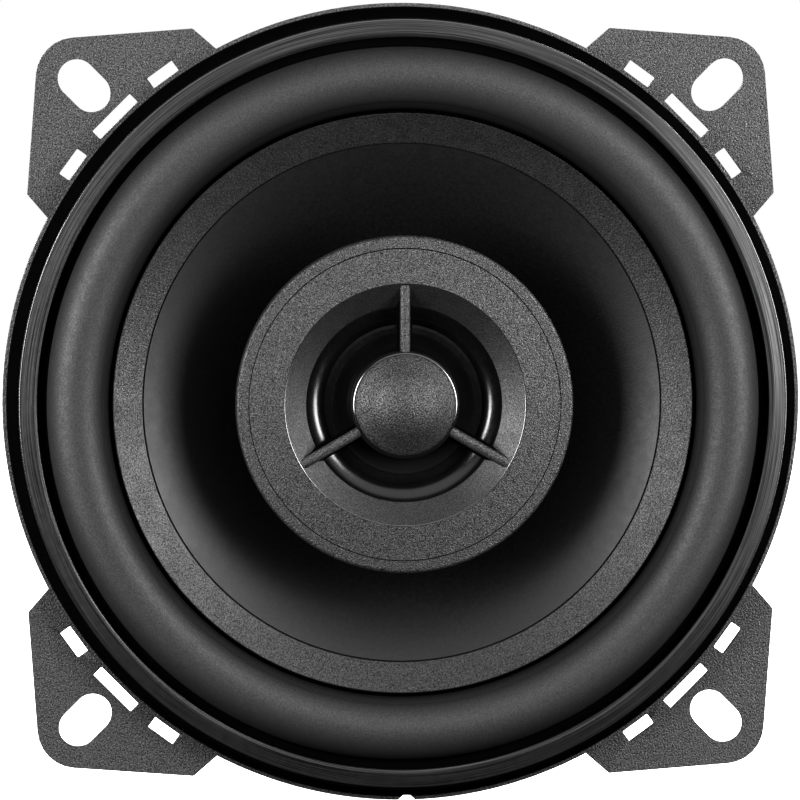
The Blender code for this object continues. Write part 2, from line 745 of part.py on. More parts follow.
def make_tweeter_film():
    roll_middle = 11.3 * MM
    roll_half = 1.2 * MM
    roll = arc((roll_middle, DOME_FOOT_Z), roll_half, 180, 0, 5)
    line = [(9.3 * MM, DOME_FOOT_Z + DOME_FILM)] + roll + [(13.0 * MM, DOME_FOOT_Z)]
    turned("tweeter_surround", thickened(line, DOME_FILM), FILM_BLACK, segments=28)
    valley_z = DOME_FOOT_Z - 0.2 * MM
    dome = arc((0, valley_z), (DOME_VALLEY, DOME_RISE), 90, 0, 4)
    dome[0] = (0, valley_z + DOME_RISE)
    front = dome + [(9.0 * MM, DOME_FOOT_Z + DOME_FILM)]
    rear = [(max(radius - 0.15 * MM, 0), z - DOME_FILM) for radius, z in front]
    turned("tweeter_dome", front + rear[::-1], FILM_BLACK, DOME_SLIDE, 24)


# Terminals and leads


def make_board():
    width, length, _ = BOARD_SIZE
    corners = [(x, y + BOARD_CENTRE_Y) for x, y in rectangle(width, length, 1.0 * MM)]
    board = prism("terminal_board", [corners], BOARD_REAR, BOARD_FRONT, PHENOLIC)
    for number, side in enumerate((-1, 1)):
        centre = shift(side * BOARD_RIVET[0], BOARD_RIVET[1])
        combine(board, round_cutter(BOARD_RIVET_HOLE, BOARD_REAR - SHEET, BOARD_FRONT + SHEET, centre))
        name = f"board_rivet_{number + 1}"
        shank = BOARD_RIVET_HOLE - GAP
        rivet(name, 1.9 * MM, shank, BOARD_REAR - GAP, SHELF_Z + GAP, 0.6 * MM, ZINC, centre)
    for sign, side in TAB_SIDES.items():
        centre = shift(side * TAB_X, TAB_RIVET_Y)
        combine(board, round_cutter(TAB_RIVET_HOLE, BOARD_REAR - SHEET, BOARD_FRONT + SHEET, centre))
        tab_rear = BOARD_REAR - GAP - TAB_SHEET - GAP
        shank = TAB_RIVET_HOLE - GAP
        rivet(f"tab_rivet_{sign}", 1.6 * MM, shank, tab_rear, BOARD_FRONT + GAP, 0.5 * MM, BRASS, centre)
        make_tab(sign, side)


def make_tab(sign, side):
    """A push-on tab whose base is riveted to the board and whose blade is stepped off it."""
    base = BOARD_REAR - GAP
    step = 1.3 * MM
    line = [
        (-34.0 * MM, base),
        (-38.4 * MM, base),
        (-39.4 * MM, base - step),
        (-45.4 * MM, base - step),
    ]
    width = TAB_WIDTHS[sign]
    across = Matrix(((0, 0, 1), (1, 0, 0), (0, 1, 0))).to_4x4()
    low = side * TAB_X - width / 2
    section = thickened(line[::-1], TAB_SHEET)
    tab = prism(f"terminal_tab_{sign}", [section], low, low + width, BRASS, matrix=across)
    centre = shift(side * TAB_X, TAB_RIVET_Y)
    combine(tab, round_cutter(TAB_RIVET_HOLE, base - 2 * SHEET, base + SHEET, centre))


def make_capacitor():
    half = CAPACITOR_LENGTH / 2
    shoulder = CAPACITOR_RADIUS - CAPACITOR_EDGE
    outline = [
        (0, half),
        (shoulder, half),
        (CAPACITOR_RADIUS, half - CAPACITOR_EDGE),
        (CAPACITOR_RADIUS, -half + CAPACITOR_EDGE),
        (shoulder, -half),
        (0, -half),
    ]
    can = turned("crossover_capacitor", outline, SLEEVE, segments=20)
    along_x = Matrix.Rotation(math.pi / 2, 4, "Y")
    can.matrix_local = shift(0, CAPACITOR_PLACE[0], CAPACITOR_PLACE[1]) @ along_x


def make_leads():
    """Two tweeter leads from the post round the magnet to the board, and two tinsel leads to the cone."""
    plate_z = BACK_PLATE_REAR - GAP - LEAD_RADIUS
    side_y = -(MAGNET_RADIUS + GAP + LEAD_RADIUS)
    for sign, side in TAB_SIDES.items():
        x = side * (LEAD_RADIUS + 0.1 * MM)
        route = [
            (x, 0, -4.9 * MM),
            (x, 0, -24.0 * MM),
            (x, 0, -42.0 * MM),
            (x, -0.8 * MM, plate_z + 0.2 * MM),
            (x, -3.2 * MM, plate_z - 0.3 * MM),
            (x, -9.0 * MM, plate_z),
            (x, -32.0 * MM, plate_z),
            (x, side_y + 0.6 * MM, plate_z + 1.4 * MM),
            (x, side_y - 0.1 * MM, MAGNET_REAR + 1.0 * MM),
            (1.3 * x, side_y, (MAGNET_REAR + MAGNET_FRONT) / 2),
            (2.4 * x, side_y, MAGNET_FRONT),
        ]
        route += [(px * MM, py * MM, pz * MM) for px, py, pz in LEAD_ENDS[sign]]
        wire(f"tweeter_lead_{sign}", route, LEAD_RADIUS, LEAD_JACKETS[sign])
        route = [(side * px * MM, py * MM, pz * MM) for px, py, pz in TINSEL_ROUTE]
        wire(f"tinsel_lead_{sign}", route, TINSEL_RADIUS, BRAID)


clear_scene()
PARTS = new_collection("coaxial_speaker")
CUTTERS = new_collection("cutters")
AXIS = new_empty("speaker_axis")
AXIS.rotation_euler = (math.pi / 2, 0, 0)
CONE_SLIDE = new_empty("cone_slide", AXIS)
DOME_SLIDE = new_empty("tweeter_dome_slide", AXIS)

STEEL = finish("black powder coat", (0.035, 0.035, 0.036), 0.5)
PLASTIC = finish("black moulded plastic", (0.04, 0.04, 0.041), 0.5)
RING_PLASTIC = finish("grey moulded ring", (0.06, 0.06, 0.061), 0.4)
RUBBER = finish("black rubber", (0.03, 0.03, 0.03), 0.6)
CONE_PULP = finish("black cone pulp", (0.03, 0.03, 0.03), 0.75)
FELT = finish("black felt", (0.02, 0.02, 0.02), 0.9)
SPIDER_CLOTH = finish("resin cloth", (0.55, 0.33, 0.1), 0.8)
FILM = finish("former film", (0.45, 0.25, 0.08), 0.35)
FILM_BLACK = finish("gloss black film", (0.01, 0.01, 0.01), 0.12)
COPPER = finish("enamelled copper", (0.6, 0.25, 0.1), 0.3, 1.0)
ZINC = finish("zinc plate", (0.6, 0.6, 0.58), 0.35, 1.0)
NICKEL = finish("nickel plate", (0.65, 0.62, 0.57), 0.2, 1.0)
BRASS = finish("tinned brass", (0.7, 0.68, 0.6), 0.3, 1.0)
FERRITE = finish("ferrite", (0.05, 0.05, 0.055), 0.6)
PHENOLIC = finish("phenolic board", (0.25, 0.13, 0.05), 0.6)
SLEEVE = finish("capacitor sleeve", (0.02, 0.05, 0.15), 0.4)
BRAID = finish("tinsel braid", (0.75, 0.7, 0.6), 0.45, 1.0)
LEAD_JACKETS = {
    "positive": finish("red lead", (0.5, 0.03, 0.02), 0.45),
    "negative": finish("black lead", (0.02, 0.02, 0.02), 0.45),
}

make_basket()
ring("trim_ring", TRIM_INNER, TRIM_OUTER, TRIM_REAR, TRIM_FRONT, RING_PLASTIC)
make_surround()
make_cone_group()
make_spider()
make_motor()
make_post()
make_housing()
make_bezel()
make_tweeter_motor()
make_tweeter_film()
make_board()
make_capacitor()
make_leads()

bpy.context.view_layer.update()
for piece in PARTS.objects:
    if piece.type == "MESH":
        settle(piece)
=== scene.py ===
"""Looks of a coaxial car speaker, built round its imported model.

Shapes are drawn about the speaker's own axis in millimetres: x to the right, y up and z forward,
towards the listener, with z = 0 in the rear plane of the ears. AXIS stands them in the frame, where
the speaker faces -Y. A corner of an outline may carry its own rounding as a third number.
"""

import math

import bmesh
import bpy
from mathutils import Matrix, Vector


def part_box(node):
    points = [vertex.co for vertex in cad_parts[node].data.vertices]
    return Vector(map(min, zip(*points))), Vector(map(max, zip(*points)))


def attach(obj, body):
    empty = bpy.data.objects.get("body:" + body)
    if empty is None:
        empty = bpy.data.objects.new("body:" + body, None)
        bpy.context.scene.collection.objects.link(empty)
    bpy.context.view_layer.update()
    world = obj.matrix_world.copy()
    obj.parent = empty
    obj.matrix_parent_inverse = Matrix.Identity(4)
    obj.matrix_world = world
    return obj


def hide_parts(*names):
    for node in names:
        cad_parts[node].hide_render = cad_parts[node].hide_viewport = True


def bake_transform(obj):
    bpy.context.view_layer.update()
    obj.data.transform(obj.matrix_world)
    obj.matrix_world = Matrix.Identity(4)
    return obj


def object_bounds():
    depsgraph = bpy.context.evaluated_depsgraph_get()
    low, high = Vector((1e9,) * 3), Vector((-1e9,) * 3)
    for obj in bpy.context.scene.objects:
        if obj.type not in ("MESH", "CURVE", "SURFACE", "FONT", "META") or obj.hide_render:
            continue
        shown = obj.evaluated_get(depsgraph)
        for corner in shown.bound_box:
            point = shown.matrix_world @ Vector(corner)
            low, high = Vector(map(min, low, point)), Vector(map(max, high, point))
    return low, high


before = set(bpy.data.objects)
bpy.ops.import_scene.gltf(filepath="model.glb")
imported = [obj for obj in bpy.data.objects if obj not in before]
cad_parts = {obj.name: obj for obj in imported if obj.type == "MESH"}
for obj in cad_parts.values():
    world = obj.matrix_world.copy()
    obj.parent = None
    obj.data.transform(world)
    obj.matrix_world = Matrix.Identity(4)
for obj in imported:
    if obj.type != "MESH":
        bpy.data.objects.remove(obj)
cad_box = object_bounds()

MM = 0.001
AXIS = Matrix(((MM, 0, 0, 0), (0, 0, -MM, 0), (0, MM, 0, 0), (0, 0, 0, 1)))
SEGMENTS = 256
FINE = 0.12  # the usual rounding of an edge
SHARP_ANGLE = math.radians(38)


def extent(node):
    """(outer radius, rear z, front z) of a CAD node, in millimetres."""
    low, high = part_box(node)
    return max(high.x, -low.x) / MM, -high.y / MM, -low.y / MM


# Outlines


def arc(centre, radius, start, end, steps):
    """Points from angle start to angle end in degrees; radius is a number or (x radius, z radius)."""
    across, along = radius if isinstance(radius, tuple) else (radius, radius)
    angles = [math.radians(start + (end - start) * step / steps) for step in range(steps + 1)]
    return [(centre[0] + across * math.cos(a), centre[1] + along * math.sin(a)) for a in angles]


def corner(before, here, after, radius):
    """The points of an arc that rounds one corner."""
    here = Vector(here)
    to_before = Vector(before) - here
    to_after = Vector(after) - here
    room = 0.48 * min(to_before.length, to_after.length)
    to_before.normalize()
    to_after.normalize()
    half = to_before.angle(to_after) / 2
    if radius <= 0 or half > math.radians(89):
        return [tuple(here)]
    reach = min(radius / math.tan(half), room)
    radius = reach * math.tan(half)
    centre = here + (to_before + to_after).normalized() * radius / math.sin(half)
    first = here + to_before * reach - centre
    second = here + to_after * reach - centre
    turn = first.angle_signed(second)
    steps = max(2, math.ceil(abs(turn) / math.radians(15)))
    return [tuple(centre + Matrix.Rotation(-turn * k / steps, 2) @ first) for k in range(steps + 1)]


def eased(corners, radius=FINE, closed=True):
    """Rounds the corners (x, z) or (x, z, own radius) of an outline; points on the axis stay."""
    points = []
    count = len(corners)
    for index, (x, z, *own) in enumerate(corners):
        at_end = not closed and index in (0, count - 1)
        if at_end or (x == 0 and closed):
            points.append((x, z))
            continue
        before = corners[index - 1][:2]
        after = corners[(index + 1) % count][:2]
        points += corner(before, (x, z), after, own[0] if own else radius)
    return points


def sheet(line, thickness):
    """A closed outline round a sheet: the line is its front, and its back lies thickness behind."""
    front = eased(line, 0.0, closed=False)
    back = []
    last = len(front) - 1
    for index, point in enumerate(front):
        here = Vector(point)
        before = here - Vector(front[max(index - 1, 0)])
        after = Vector(front[min(index + 1, last)]) - here
        normals = [Vector((d.y, -d.x)).normalized() for d in (before, after) if d.length]
        middle = sum(normals, Vector((0, 0))).normalized()
        back.append(tuple(here + middle * thickness / middle.dot(normals[0])))
    return front + back[::-1]


def rectangle(width, height):
    x, y = width / 2, height / 2
    return [(-x, -y), (x, -y), (x, y), (-x, y)]


def obround(length, width):
    half = (length - width) / 2
    return arc((half, 0), width / 2, -90, 90, 16) + arc((-half, 0), width / 2, 90, 270, 16)


def smooth_route(points, steps=12):
    """A Catmull-Rom curve through the given points."""
    ends = [2 * Vector(points[0]) - Vector(points[1]), 2 * Vector(points[-1]) - Vector(points[-2])]
    knots = [ends[0]] + [Vector(point) for point in points] + [ends[1]]
    route = []
    for a, b, c, d in zip(knots, knots[1:], knots[2:], knots[3:]):
        for step in range(steps):
            t = step / steps
            bend = (2 * a - 5 * b + 4 * c - d) * t**2 + (3 * b - a - 3 * c + d) * t**3
            route.append(0.5 * (2 * b + (c - a) * t + bend))
    return route + [knots[-2]]


# Meshes


def finished(name, shape):
    """An object in the frame, from a bmesh drawn in millimetres about the speaker's axis."""
    bmesh.ops.remove_doubles(shape, verts=shape.verts, dist=0.0005)
    bmesh.ops.dissolve_degenerate(shape, edges=shape.edges, dist=0.0001)
    bmesh.ops.recalc_face_normals(shape, faces=shape.faces)
    mesh = bpy.data.meshes.new(name)
    shape.to_mesh(mesh)
    shape.free()
    mesh.transform(AXIS)
    mesh.shade_smooth()
    mesh.set_sharp_from_angle(angle=SHARP_ANGLE)
    thing = bpy.data.objects.new(name, mesh)
    bpy.context.scene.collection.objects.link(thing)
    return thing


def turned(name, outline, segments=SEGMENTS, matrix=None):
    """A closed outline (radius, z) turned round the speaker's axis."""
    on_axis = outline[0][0] == 0 and outline[-1][0] == 0
    shape = bmesh.new()
    rows = []
    for step in range(segments):
        angle = 2 * math.pi * step / segments
        x, y = math.cos(angle), math.sin(angle)
        rows.append([shape.verts.new((radius * x, radius * y, z)) for radius, z in outline])
    pairs = range(len(outline) - 1) if on_axis else range(len(outline))
    for row, following in zip(rows, rows[1:] + rows[:1]):
        for index in pairs:
            onward = (index + 1) % len(outline)
            shape.faces.new((row[index], following[index], following[onward], row[onward]))
    if matrix:
        shape.transform(matrix)
    return finished(name, shape)


def prism(name, outlines, low, high, matrix=None, edge=0.0):
    """Flat outlines, the first with the others as its holes, raised from low to high along z."""
    curve = bpy.data.curves.new(name, "CURVE")
    curve.dimensions = "2D"
    curve.fill_mode = "BOTH"
    curve.extrude = (high - low) / 2 - edge
    curve.bevel_depth = edge
    curve.bevel_resolution = 2
    curve.offset = -edge
    for outline in outlines:
        spline = curve.splines.new("POLY")
        spline.points.add(len(outline) - 1)
        spline.use_cyclic_u = True
        for point, (x, y) in zip(spline.points, outline):
            point.co = (x, y, 0, 1)
    shape = curve_shape(curve)
    shape.transform(Matrix.Translation((0, 0, (low + high) / 2)))
    if matrix:
        shape.transform(matrix)
    return finished(name, shape)


def curve_shape(curve):
    """The bmesh of a curve, with its caps welded on."""
    guide = bpy.data.objects.new("guide", curve)
    bpy.context.scene.collection.objects.link(guide)
    bpy.context.view_layer.update()
    mesh = bpy.data.meshes.new_from_object(guide.evaluated_get(bpy.context.evaluated_depsgraph_get()))
    bpy.data.objects.remove(guide)
    bpy.data.curves.remove(curve)
    shape = bmesh.new()
    shape.from_mesh(mesh)
    bpy.data.meshes.remove(mesh)
    return shape


def wire(name, route, radius):
    """A round wire with filled ends along a route."""
    curve = bpy.data.curves.new(name, "CURVE")
    curve.dimensions = "3D"
    curve.bevel_depth = radius
    curve.bevel_resolution = 6
    curve.use_fill_caps = True
    spline = curve.splines.new("POLY")
    spline.points.add(len(route) - 1)
    for point, place in zip(spline.points, route):
        point.co = (*place, 1)
    return finished(name, curve_shape(curve))


def combine(target, tool, operation="DIFFERENCE"):
    """Joins or cuts a shape with another, which is used up."""
    modifier = target.modifiers.new("combine", "BOOLEAN")
    modifier.operation = operation
    modifier.solver = "EXACT"
    modifier.object = tool
    settle(target)
    bpy.data.objects.remove(tool)


def settle(thing):
    """Applies an object's modifiers."""
    bpy.context.view_layer.update()
    mesh = bpy.data.meshes.new_from_object(thing.evaluated_get(bpy.context.evaluated_depsgraph_get()))
    thing.modifiers.clear()
    thing.data = mesh


def level(thing):
    """Keeps flat faces flat where small roundings meet them."""
    thing.data.shade_smooth()
    thing.data.set_sharp_from_angle(angle=SHARP_ANGLE)
    weighted = thing.modifiers.new("normals", "WEIGHTED_NORMAL")
    weighted.keep_sharp = True
    weighted.weight = 100


def turn(angle):
    return Matrix.Rotation(angle, 4, "Z")


def shift(x, y, z=0.0):
    return Matrix.Translation((x, y, z))


def radial_frame(angle):
    """Turns a prism so that its x runs round the speaker, its y forward and its z outwards."""
    outwards = Vector((math.cos(angle), math.sin(angle), 0))
    around = Vector((-math.sin(angle), math.cos(angle), 0))
    return Matrix((around, Vector((0, 0, 1)), outwards)).transposed().to_4x4()


# Materials


class Surface:
    """A node material whose patterns are sized in millimetres."""

    def __init__(self, name, colour, roughness, metallic=0.0, specular=0.5):
        self.material = bpy.data.materials.new(name)
        self.material.use_nodes = True
        self.tree = self.material.node_tree
        self.shader = self.tree.nodes["Principled BSDF"]
        self.colour = colour
        self.roughness = roughness
        self.shader.inputs["Base Color"].default_value = (*colour, 1)
        self.shader.inputs["Roughness"].default_value = roughness
        self.shader.inputs["Metallic"].default_value = metallic
        self.shader.inputs["Specular IOR Level"].default_value = specular
        scale = self.add("ShaderNodeVectorMath", operation="SCALE")
        scale.inputs["Scale"].default_value = 1 / MM
        self.link(self.add("ShaderNodeTexCoord").outputs["Object"], scale.inputs[0])
        self.place = scale.outputs["Vector"]

    def add(self, kind, **settings):
        node = self.tree.nodes.new(kind)
        for key, value in settings.items():
            setattr(node, key, value)
        return node

    def link(self, source, target):
        self.tree.links.new(source, target)

    def math(self, operation, first, second=None):
        node = self.add("ShaderNodeMath", operation=operation)
        for socket, value in zip(node.inputs, (first, second)):
            if isinstance(value, (int, float)):
                socket.default_value = value
            elif value is not None:
                self.link(value, socket)
        return node.outputs[0]

    def noise(self, size, detail=2.0, place=None, rough=0.5):
        node = self.add("ShaderNodeTexNoise")
        node.inputs["Scale"].default_value = 1 / size
        node.inputs["Detail"].default_value = detail
        node.inputs["Roughness"].default_value = rough
        self.link(place or self.place, node.inputs["Vector"])
        return node.outputs["Fac"]

    def polar(self):
        """The distance from the speaker's axis, in millimetres, and the angle round it."""
        split = self.add("ShaderNodeSeparateXYZ")
        self.link(self.place, split.inputs[0])
        x, z = split.outputs["X"], split.outputs["Z"]
        squares = self.math("ADD", self.math("MULTIPLY", x, x), self.math("MULTIPLY", z, z))
        return self.math("SQRT", squares), self.math("ARCTAN2", z, x)

    def rings(self, size, detail=3.0, wander=0.0):
        """A pattern that changes with the distance from the axis, like the marks of a lathe."""
        radius, angle = self.polar()
        join = self.add("ShaderNodeCombineXYZ")
        self.link(radius, join.inputs["X"])
        if wander:
            self.link(self.math("MULTIPLY", angle, wander), join.inputs["Y"])
        return self.noise(size, detail, join.outputs["Vector"])

    def spread(self, pattern, low, high, start=0.3, end=0.7):
        """Stretches a pattern to run from low to high."""
        node = self.add("ShaderNodeMapRange")
        node.inputs["From Min"].default_value = start
        node.inputs["From Max"].default_value = end
        node.inputs["To Min"].default_value = low
        node.inputs["To Max"].default_value = high
        self.link(pattern, node.inputs["Value"])
        return node.outputs["Result"]

    def vary_colour(self, pattern, share, other=None):
        """Lightens and darkens the colour by a share, or turns it towards another colour."""
        mix = self.add("ShaderNodeMix", data_type="RGBA")
        low = [c * (1 - share) for c in self.colour] if other is None else self.colour
        high = [c * (1 + share) for c in self.colour] if other is None else other
        for socket in mix.inputs:
            if socket.name in ("A", "B") and socket.type == "RGBA":
                socket.default_value = (*(low if socket.name == "A" else high), 1)
        factor = self.spread(pattern, 0.0, 1.0 if other is None else share)
        self.link(factor, mix.inputs["Factor"])
        colour = [output for output in mix.outputs if output.type == "RGBA"][0]
        self.link(colour, self.shader.inputs["Base Color"])

    def vary_sheen(self, pattern, share):
        """Makes the reflections stronger and weaker by a share."""
        level = self.shader.inputs["Specular IOR Level"]
        middle = level.default_value
        self.link(self.spread(pattern, middle * (1 - share), middle * (1 + share)), level)

    def fade_sheen(self, pattern):
        """Multiplies the reflections that vary_sheen set by a pattern."""
        level = self.shader.inputs["Specular IOR Level"]
        self.link(self.math("MULTIPLY", level.links[0].from_socket, pattern), level)

    def vary_roughness(self, pattern, amount):
        level = self.spread(pattern, self.roughness - amount, self.roughness + amount)
        self.link(level, self.shader.inputs["Roughness"])

    def raise_bump(self, pattern, depth):
        """Adds relief of a depth in millimetres."""
        bump = self.add("ShaderNodeBump")
        bump.inputs["Strength"].default_value = 1.0
        bump.inputs["Distance"].default_value = depth * MM
        self.link(pattern, bump.inputs["Height"])
        self.link(bump.outputs["Normal"], self.shader.inputs["Normal"])


def grey(level):
    return (level, level, level)


def grained(name, colour, roughness, size, share, depth, specular):
    """Powder coat or textured plastic: a fine even grain with a little slow unevenness."""
    look = Surface(name, colour, roughness, specular=specular)
    grain = look.noise(size, 2.0, rough=0.6)
    look.vary_colour(grain, share)
    look.vary_sheen(look.noise(0.7 * size, 1.0), share)
    look.vary_roughness(look.noise(9 * size, 3.0), 0.04)
    look.raise_bump(grain, depth)
    return look.material


def cone_look():
    """Smooth pulp with painted shade towards the neck, where its reflections fade."""
    look = Surface("smooth_cone", grey(0.006), 0.50)
    radius, _ = look.polar()
    fade = look.spread(radius, 0.02, 0.42, 23.5, 33.5)
    look.link(fade, look.shader.inputs["Specular IOR Level"])
    look.vary_colour(look.noise(0.4, 3.0), 0.3)
    look.vary_roughness(look.noise(1.2, 4.0), 0.03)
    look.raise_bump(look.noise(0.28, 2.0), 0.012)
    return look.material


def smooth_plastic(name, colour, roughness, specular=0.5):
    look = Surface(name, colour, roughness, specular=specular)
    look.vary_colour(look.noise(4.0, 3.0), 0.1)
    look.vary_roughness(look.noise(1.5, 4.0), 0.03)
    look.raise_bump(look.noise(0.9, 2.0), 0.002)
    return look.material


def plated(name, colour, roughness, lathe=True):
    """Zinc or tin on metal, with the marks of the lathe or of the sheet under it."""
    look = Surface(name, colour, roughness, 1.0)
    look.vary_colour(look.noise(5.0, 4.0), 0.06)
    marks = look.rings(0.25, 4.0) if lathe else look.noise(0.35, 3.0)
    look.vary_roughness(look.noise(2.0, 5.0), 0.03)
    look.raise_bump(marks, 0.012 if lathe else 0.006)
    return look.material


def make_looks():
    looks = {}
    looks["coat"] = grained("black_powder_coat", grey(0.025), 0.50, 0.24, 0.95, 0.105, 0.55)
    # painted shade: a near-black look with no reflections, for faces that lie in shadow
    looks["shade"] = smooth_plastic("painted_shade", grey(0.002), 0.80, 0.0)
    looks["trim"] = trim_look()
    looks["trim_edge"] = smooth_plastic("polished_trim_edge", grey(0.015), 0.25, 0.9)
    # painted shade: a darker, less glossy coat for the lip round the rim
    looks["rim_coat"] = grained("rim_coat_painted_shade", grey(0.012), 0.55, 0.24, 0.95, 0.080, 0.25)
    looks["rubber"] = rubber_look()
    looks["cone"] = grained("rough_cone", grey(0.010), 0.50, 0.24, 0.65, 0.050, 0.48)
    looks["cone_inner"] = cone_look()
    looks["plastic"] = grained("grained_plastic", grey(0.022), 0.50, 0.21, 0.95, 0.105, 0.52)
    looks["bevel"] = grained("bevel_plastic", grey(0.012), 0.50, 0.20, 0.55, 0.040, 0.55)
    looks["gloss"] = smooth_plastic("polished_edge", grey(0.008), 0.20, 0.9)
    looks["film"] = film_look()
    looks["damped_film"] = smooth_plastic("damped_film", grey(0.003), 0.35, 0.12)
    looks["inner"] = smooth_plastic("black_plastic", grey(0.012), 0.5)
    looks["zinc"] = plated("zinc_plate", (0.52, 0.52, 0.50), 0.34)
    looks["zinc_sheet"] = plated("zinc_small", (0.52, 0.52, 0.50), 0.32, lathe=False)
    looks["nickel"] = plated("nickel_plate", (0.60, 0.58, 0.54), 0.22)
    looks["tinned"] = plated("tinned_brass", (0.62, 0.60, 0.56), 0.30, lathe=False)
    looks["copper"] = winding_look()
    looks["ferrite"] = ferrite_look()
    looks["spider"] = cloth_look()
    looks["felt"] = felt_look()
    looks["former"] = smooth_plastic("amber_film", (0.36, 0.17, 0.03), 0.3)
    looks["phenolic"] = phenolic_look()
    looks["sleeve"] = smooth_plastic("shrink_sleeve", (0.012, 0.012, 0.015), 0.35)
    looks["braid"] = braid_look()
    looks["red_lead"] = smooth_plastic("red_insulation", (0.28, 0.012, 0.010), 0.38)
    looks["black_lead"] = smooth_plastic("black_insulation", grey(0.012), 0.38)
    return looks


def trim_look():
    """Fine streaks round the ring."""
    look = Surface("grooved_trim", grey(0.011), 0.42, specular=0.42)
    streaks = look.rings(0.10, 3.0, wander=0.25)
    look.vary_colour(streaks, 0.7)
    look.vary_sheen(streaks, 0.8)
    look.vary_roughness(look.noise(0.8, 4.0), 0.05)
    look.raise_bump(streaks, 0.004)
    return look.material


def rubber_look():
    """Matt rubber with painted shade at the foot of the roll by the cone, where its colour and its
    reflections darken.
    """
    look = Surface("surround_rubber", grey(0.004), 0.60, specular=0.45)
    radius, _ = look.polar()
    look.vary_colour(look.spread(radius, 0.0, 1.0, 37.1, 40.6), 1.0, grey(0.020))
    look.vary_sheen(look.noise(0.2, 2.0), 0.35)
    look.fade_sheen(look.spread(radius, 0.12, 1.0, 38.2, 39.9))
    look.vary_roughness(look.noise(0.9, 4.0), 0.04)
    look.raise_bump(look.noise(0.22, 3.0), 0.018)
    return look.material


def film_look():
    look = Surface("dome_film", grey(0.003), 0.23, specular=0.47)
    look.vary_colour(look.noise(2.0, 3.0), 0.2)
    look.vary_roughness(look.noise(0.6, 4.0), 0.03)
    look.raise_bump(look.noise(1.5, 2.0), 0.004)
    return look.material


def winding_look():
    look = Surface("enamelled_winding", (0.52, 0.20, 0.08), 0.3, 1.0)
    wave = look.add("ShaderNodeTexWave", bands_direction="Y")
    wave.inputs["Scale"].default_value = 1.4
    look.link(look.place, wave.inputs["Vector"])
    look.vary_colour(wave.outputs["Fac"], 0.35)
    look.raise_bump(wave.outputs["Fac"], 0.05)
    return look.material


def ferrite_look():
    look = Surface("ground_ferrite", (0.030, 0.030, 0.034), 0.58, specular=0.45)
    look.vary_colour(look.noise(1.2, 5.0), 0.2)
    look.vary_roughness(look.noise(3.0, 4.0), 0.05)
    look.raise_bump(look.noise(0.35, 4.0), 0.02)
    return look.material


def cloth_look():
    """Resin-dipped cotton: a fine square weave that shows through the resin."""
    look = Surface("resin_cloth", (0.46, 0.25, 0.06), 0.72)
    split = look.add("ShaderNodeSeparateXYZ")
    look.link(look.place, split.inputs[0])
    pitch = 2 * math.pi / 0.45
    threads = [look.math("MULTIPLY", split.outputs[axis], pitch) for axis in ("X", "Z")]
    weave = look.math("MULTIPLY", *[look.math("SINE", thread) for thread in threads])
    look.vary_colour(look.math("ADD", weave, look.noise(0.7, 4.0)), 0.3)
    look.raise_bump(weave, 0.03)
    return look.material


def felt_look():
    look = Surface("black_felt", grey(0.010), 0.95, specular=0.2)
    fibres = look.noise(0.12, 5.0)
    look.vary_colour(fibres, 0.5)
    look.raise_bump(fibres, 0.05)
    return look.material


def phenolic_look():
    look = Surface("phenolic_board", (0.13, 0.055, 0.022), 0.5)
    look.vary_colour(look.noise(0.8, 5.0), 0.3)
    look.vary_roughness(look.noise(2.0, 3.0), 0.06)
    look.raise_bump(look.noise(0.2, 2.0), 0.006)
    return look.material


def braid_look():
    """Fine copper tinsel, braided."""
    look = Surface("tinsel_braid", (0.60, 0.36, 0.18), 0.42, 1.0)
    strands = look.noise(0.16, 1.0)
    look.vary_colour(strands, 0.45)
    look.raise_bump(strands, 0.05)
    return look.material


LOOKS = make_looks()


def piece(thing, look, body, node):
    """Dresses a piece, lets it ride on its body and stand for its CAD node."""
    thing.data.materials.clear()
    thing.data.materials.append(LOOKS[look])
    level(thing)
    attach(thing, body)
    declare(node)
    return thing


def declare(node):
    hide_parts(node)


def paint(thing, look, chosen):
    """Gives another look to the faces for which chosen(r, z, tilt) holds.

    r and z place the middle of the face, and tilt is 1 where it looks straight ahead.
    """
    thing.data.materials.append(LOOKS[look])
    slot = len(thing.data.materials) - 1
    for face in thing.data.polygons:
        middle = face.center / MM
        if chosen(math.hypot(middle.x, middle.z), -middle.y, -face.normal.y):
            face.material_index = slot


def flexible(thing, look, node, weight):
    """Dresses a piece in the frame and hides its CAD node; weight gives each point's share of a body's
    motion, which is worked out but not applied.
    """
    thing.data.materials.clear()
    thing.data.materials.append(LOOKS[look])
    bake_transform(thing)
    shares = [weight(vertex.co / MM) for vertex in thing.data.vertices]
    declare(node)


def smoothstep(low, high, value):
    t = min(max((value - low) / (high - low), 0.0), 1.0)
    return t * t * (3 - 2 * t)


def radial_share(fixed_radius, moving_radius):
    """Follows the frame at the fixed radius and the moving body at the moving radius."""
    return lambda place: smoothstep(fixed_radius, moving_radius, math.hypot(place.x, place.z))


# Basket

RIM_RADIUS = extent("trim_ring")[0] + 2.0
SHEET = 1.0
LANDING_Z = 3.0
FLOOR_Z = extent("top_plate")[2] + 1.3
SHELF_Z = -14.0
CUP_RADIUS = 24.8
FLOOR_HOLE = 12.6
RIVET_CIRCLE = 18.5
LIP = 51.55  # where the drawn wall meets the lip round the rim
SLOT_PLACE = 41.3  # each way from the axis
SLOT_LENGTH = 7.7
SLOT_WIDTH = 5.0
BOARD_RIVET_X = 6.5
BOARD_RIVET_Y = -30.3


def basket_shell():
    line = [
        (FLOOR_HOLE, FLOOR_Z),
        (CUP_RADIUS, FLOOR_Z, 1.4),
        (CUP_RADIUS, SHELF_Z, 1.3),
        (33.4, SHELF_Z, 1.6),
        (44.5, -4.0, 2.5),
        (45.9, LANDING_Z, 1.1),
        (50.5, LANDING_Z, 0.9),
        (51.45, SHEET, 0.35),
        (RIM_RADIUS, SHEET),
    ]
    return turned("basket_shell", sheet(line, SHEET))


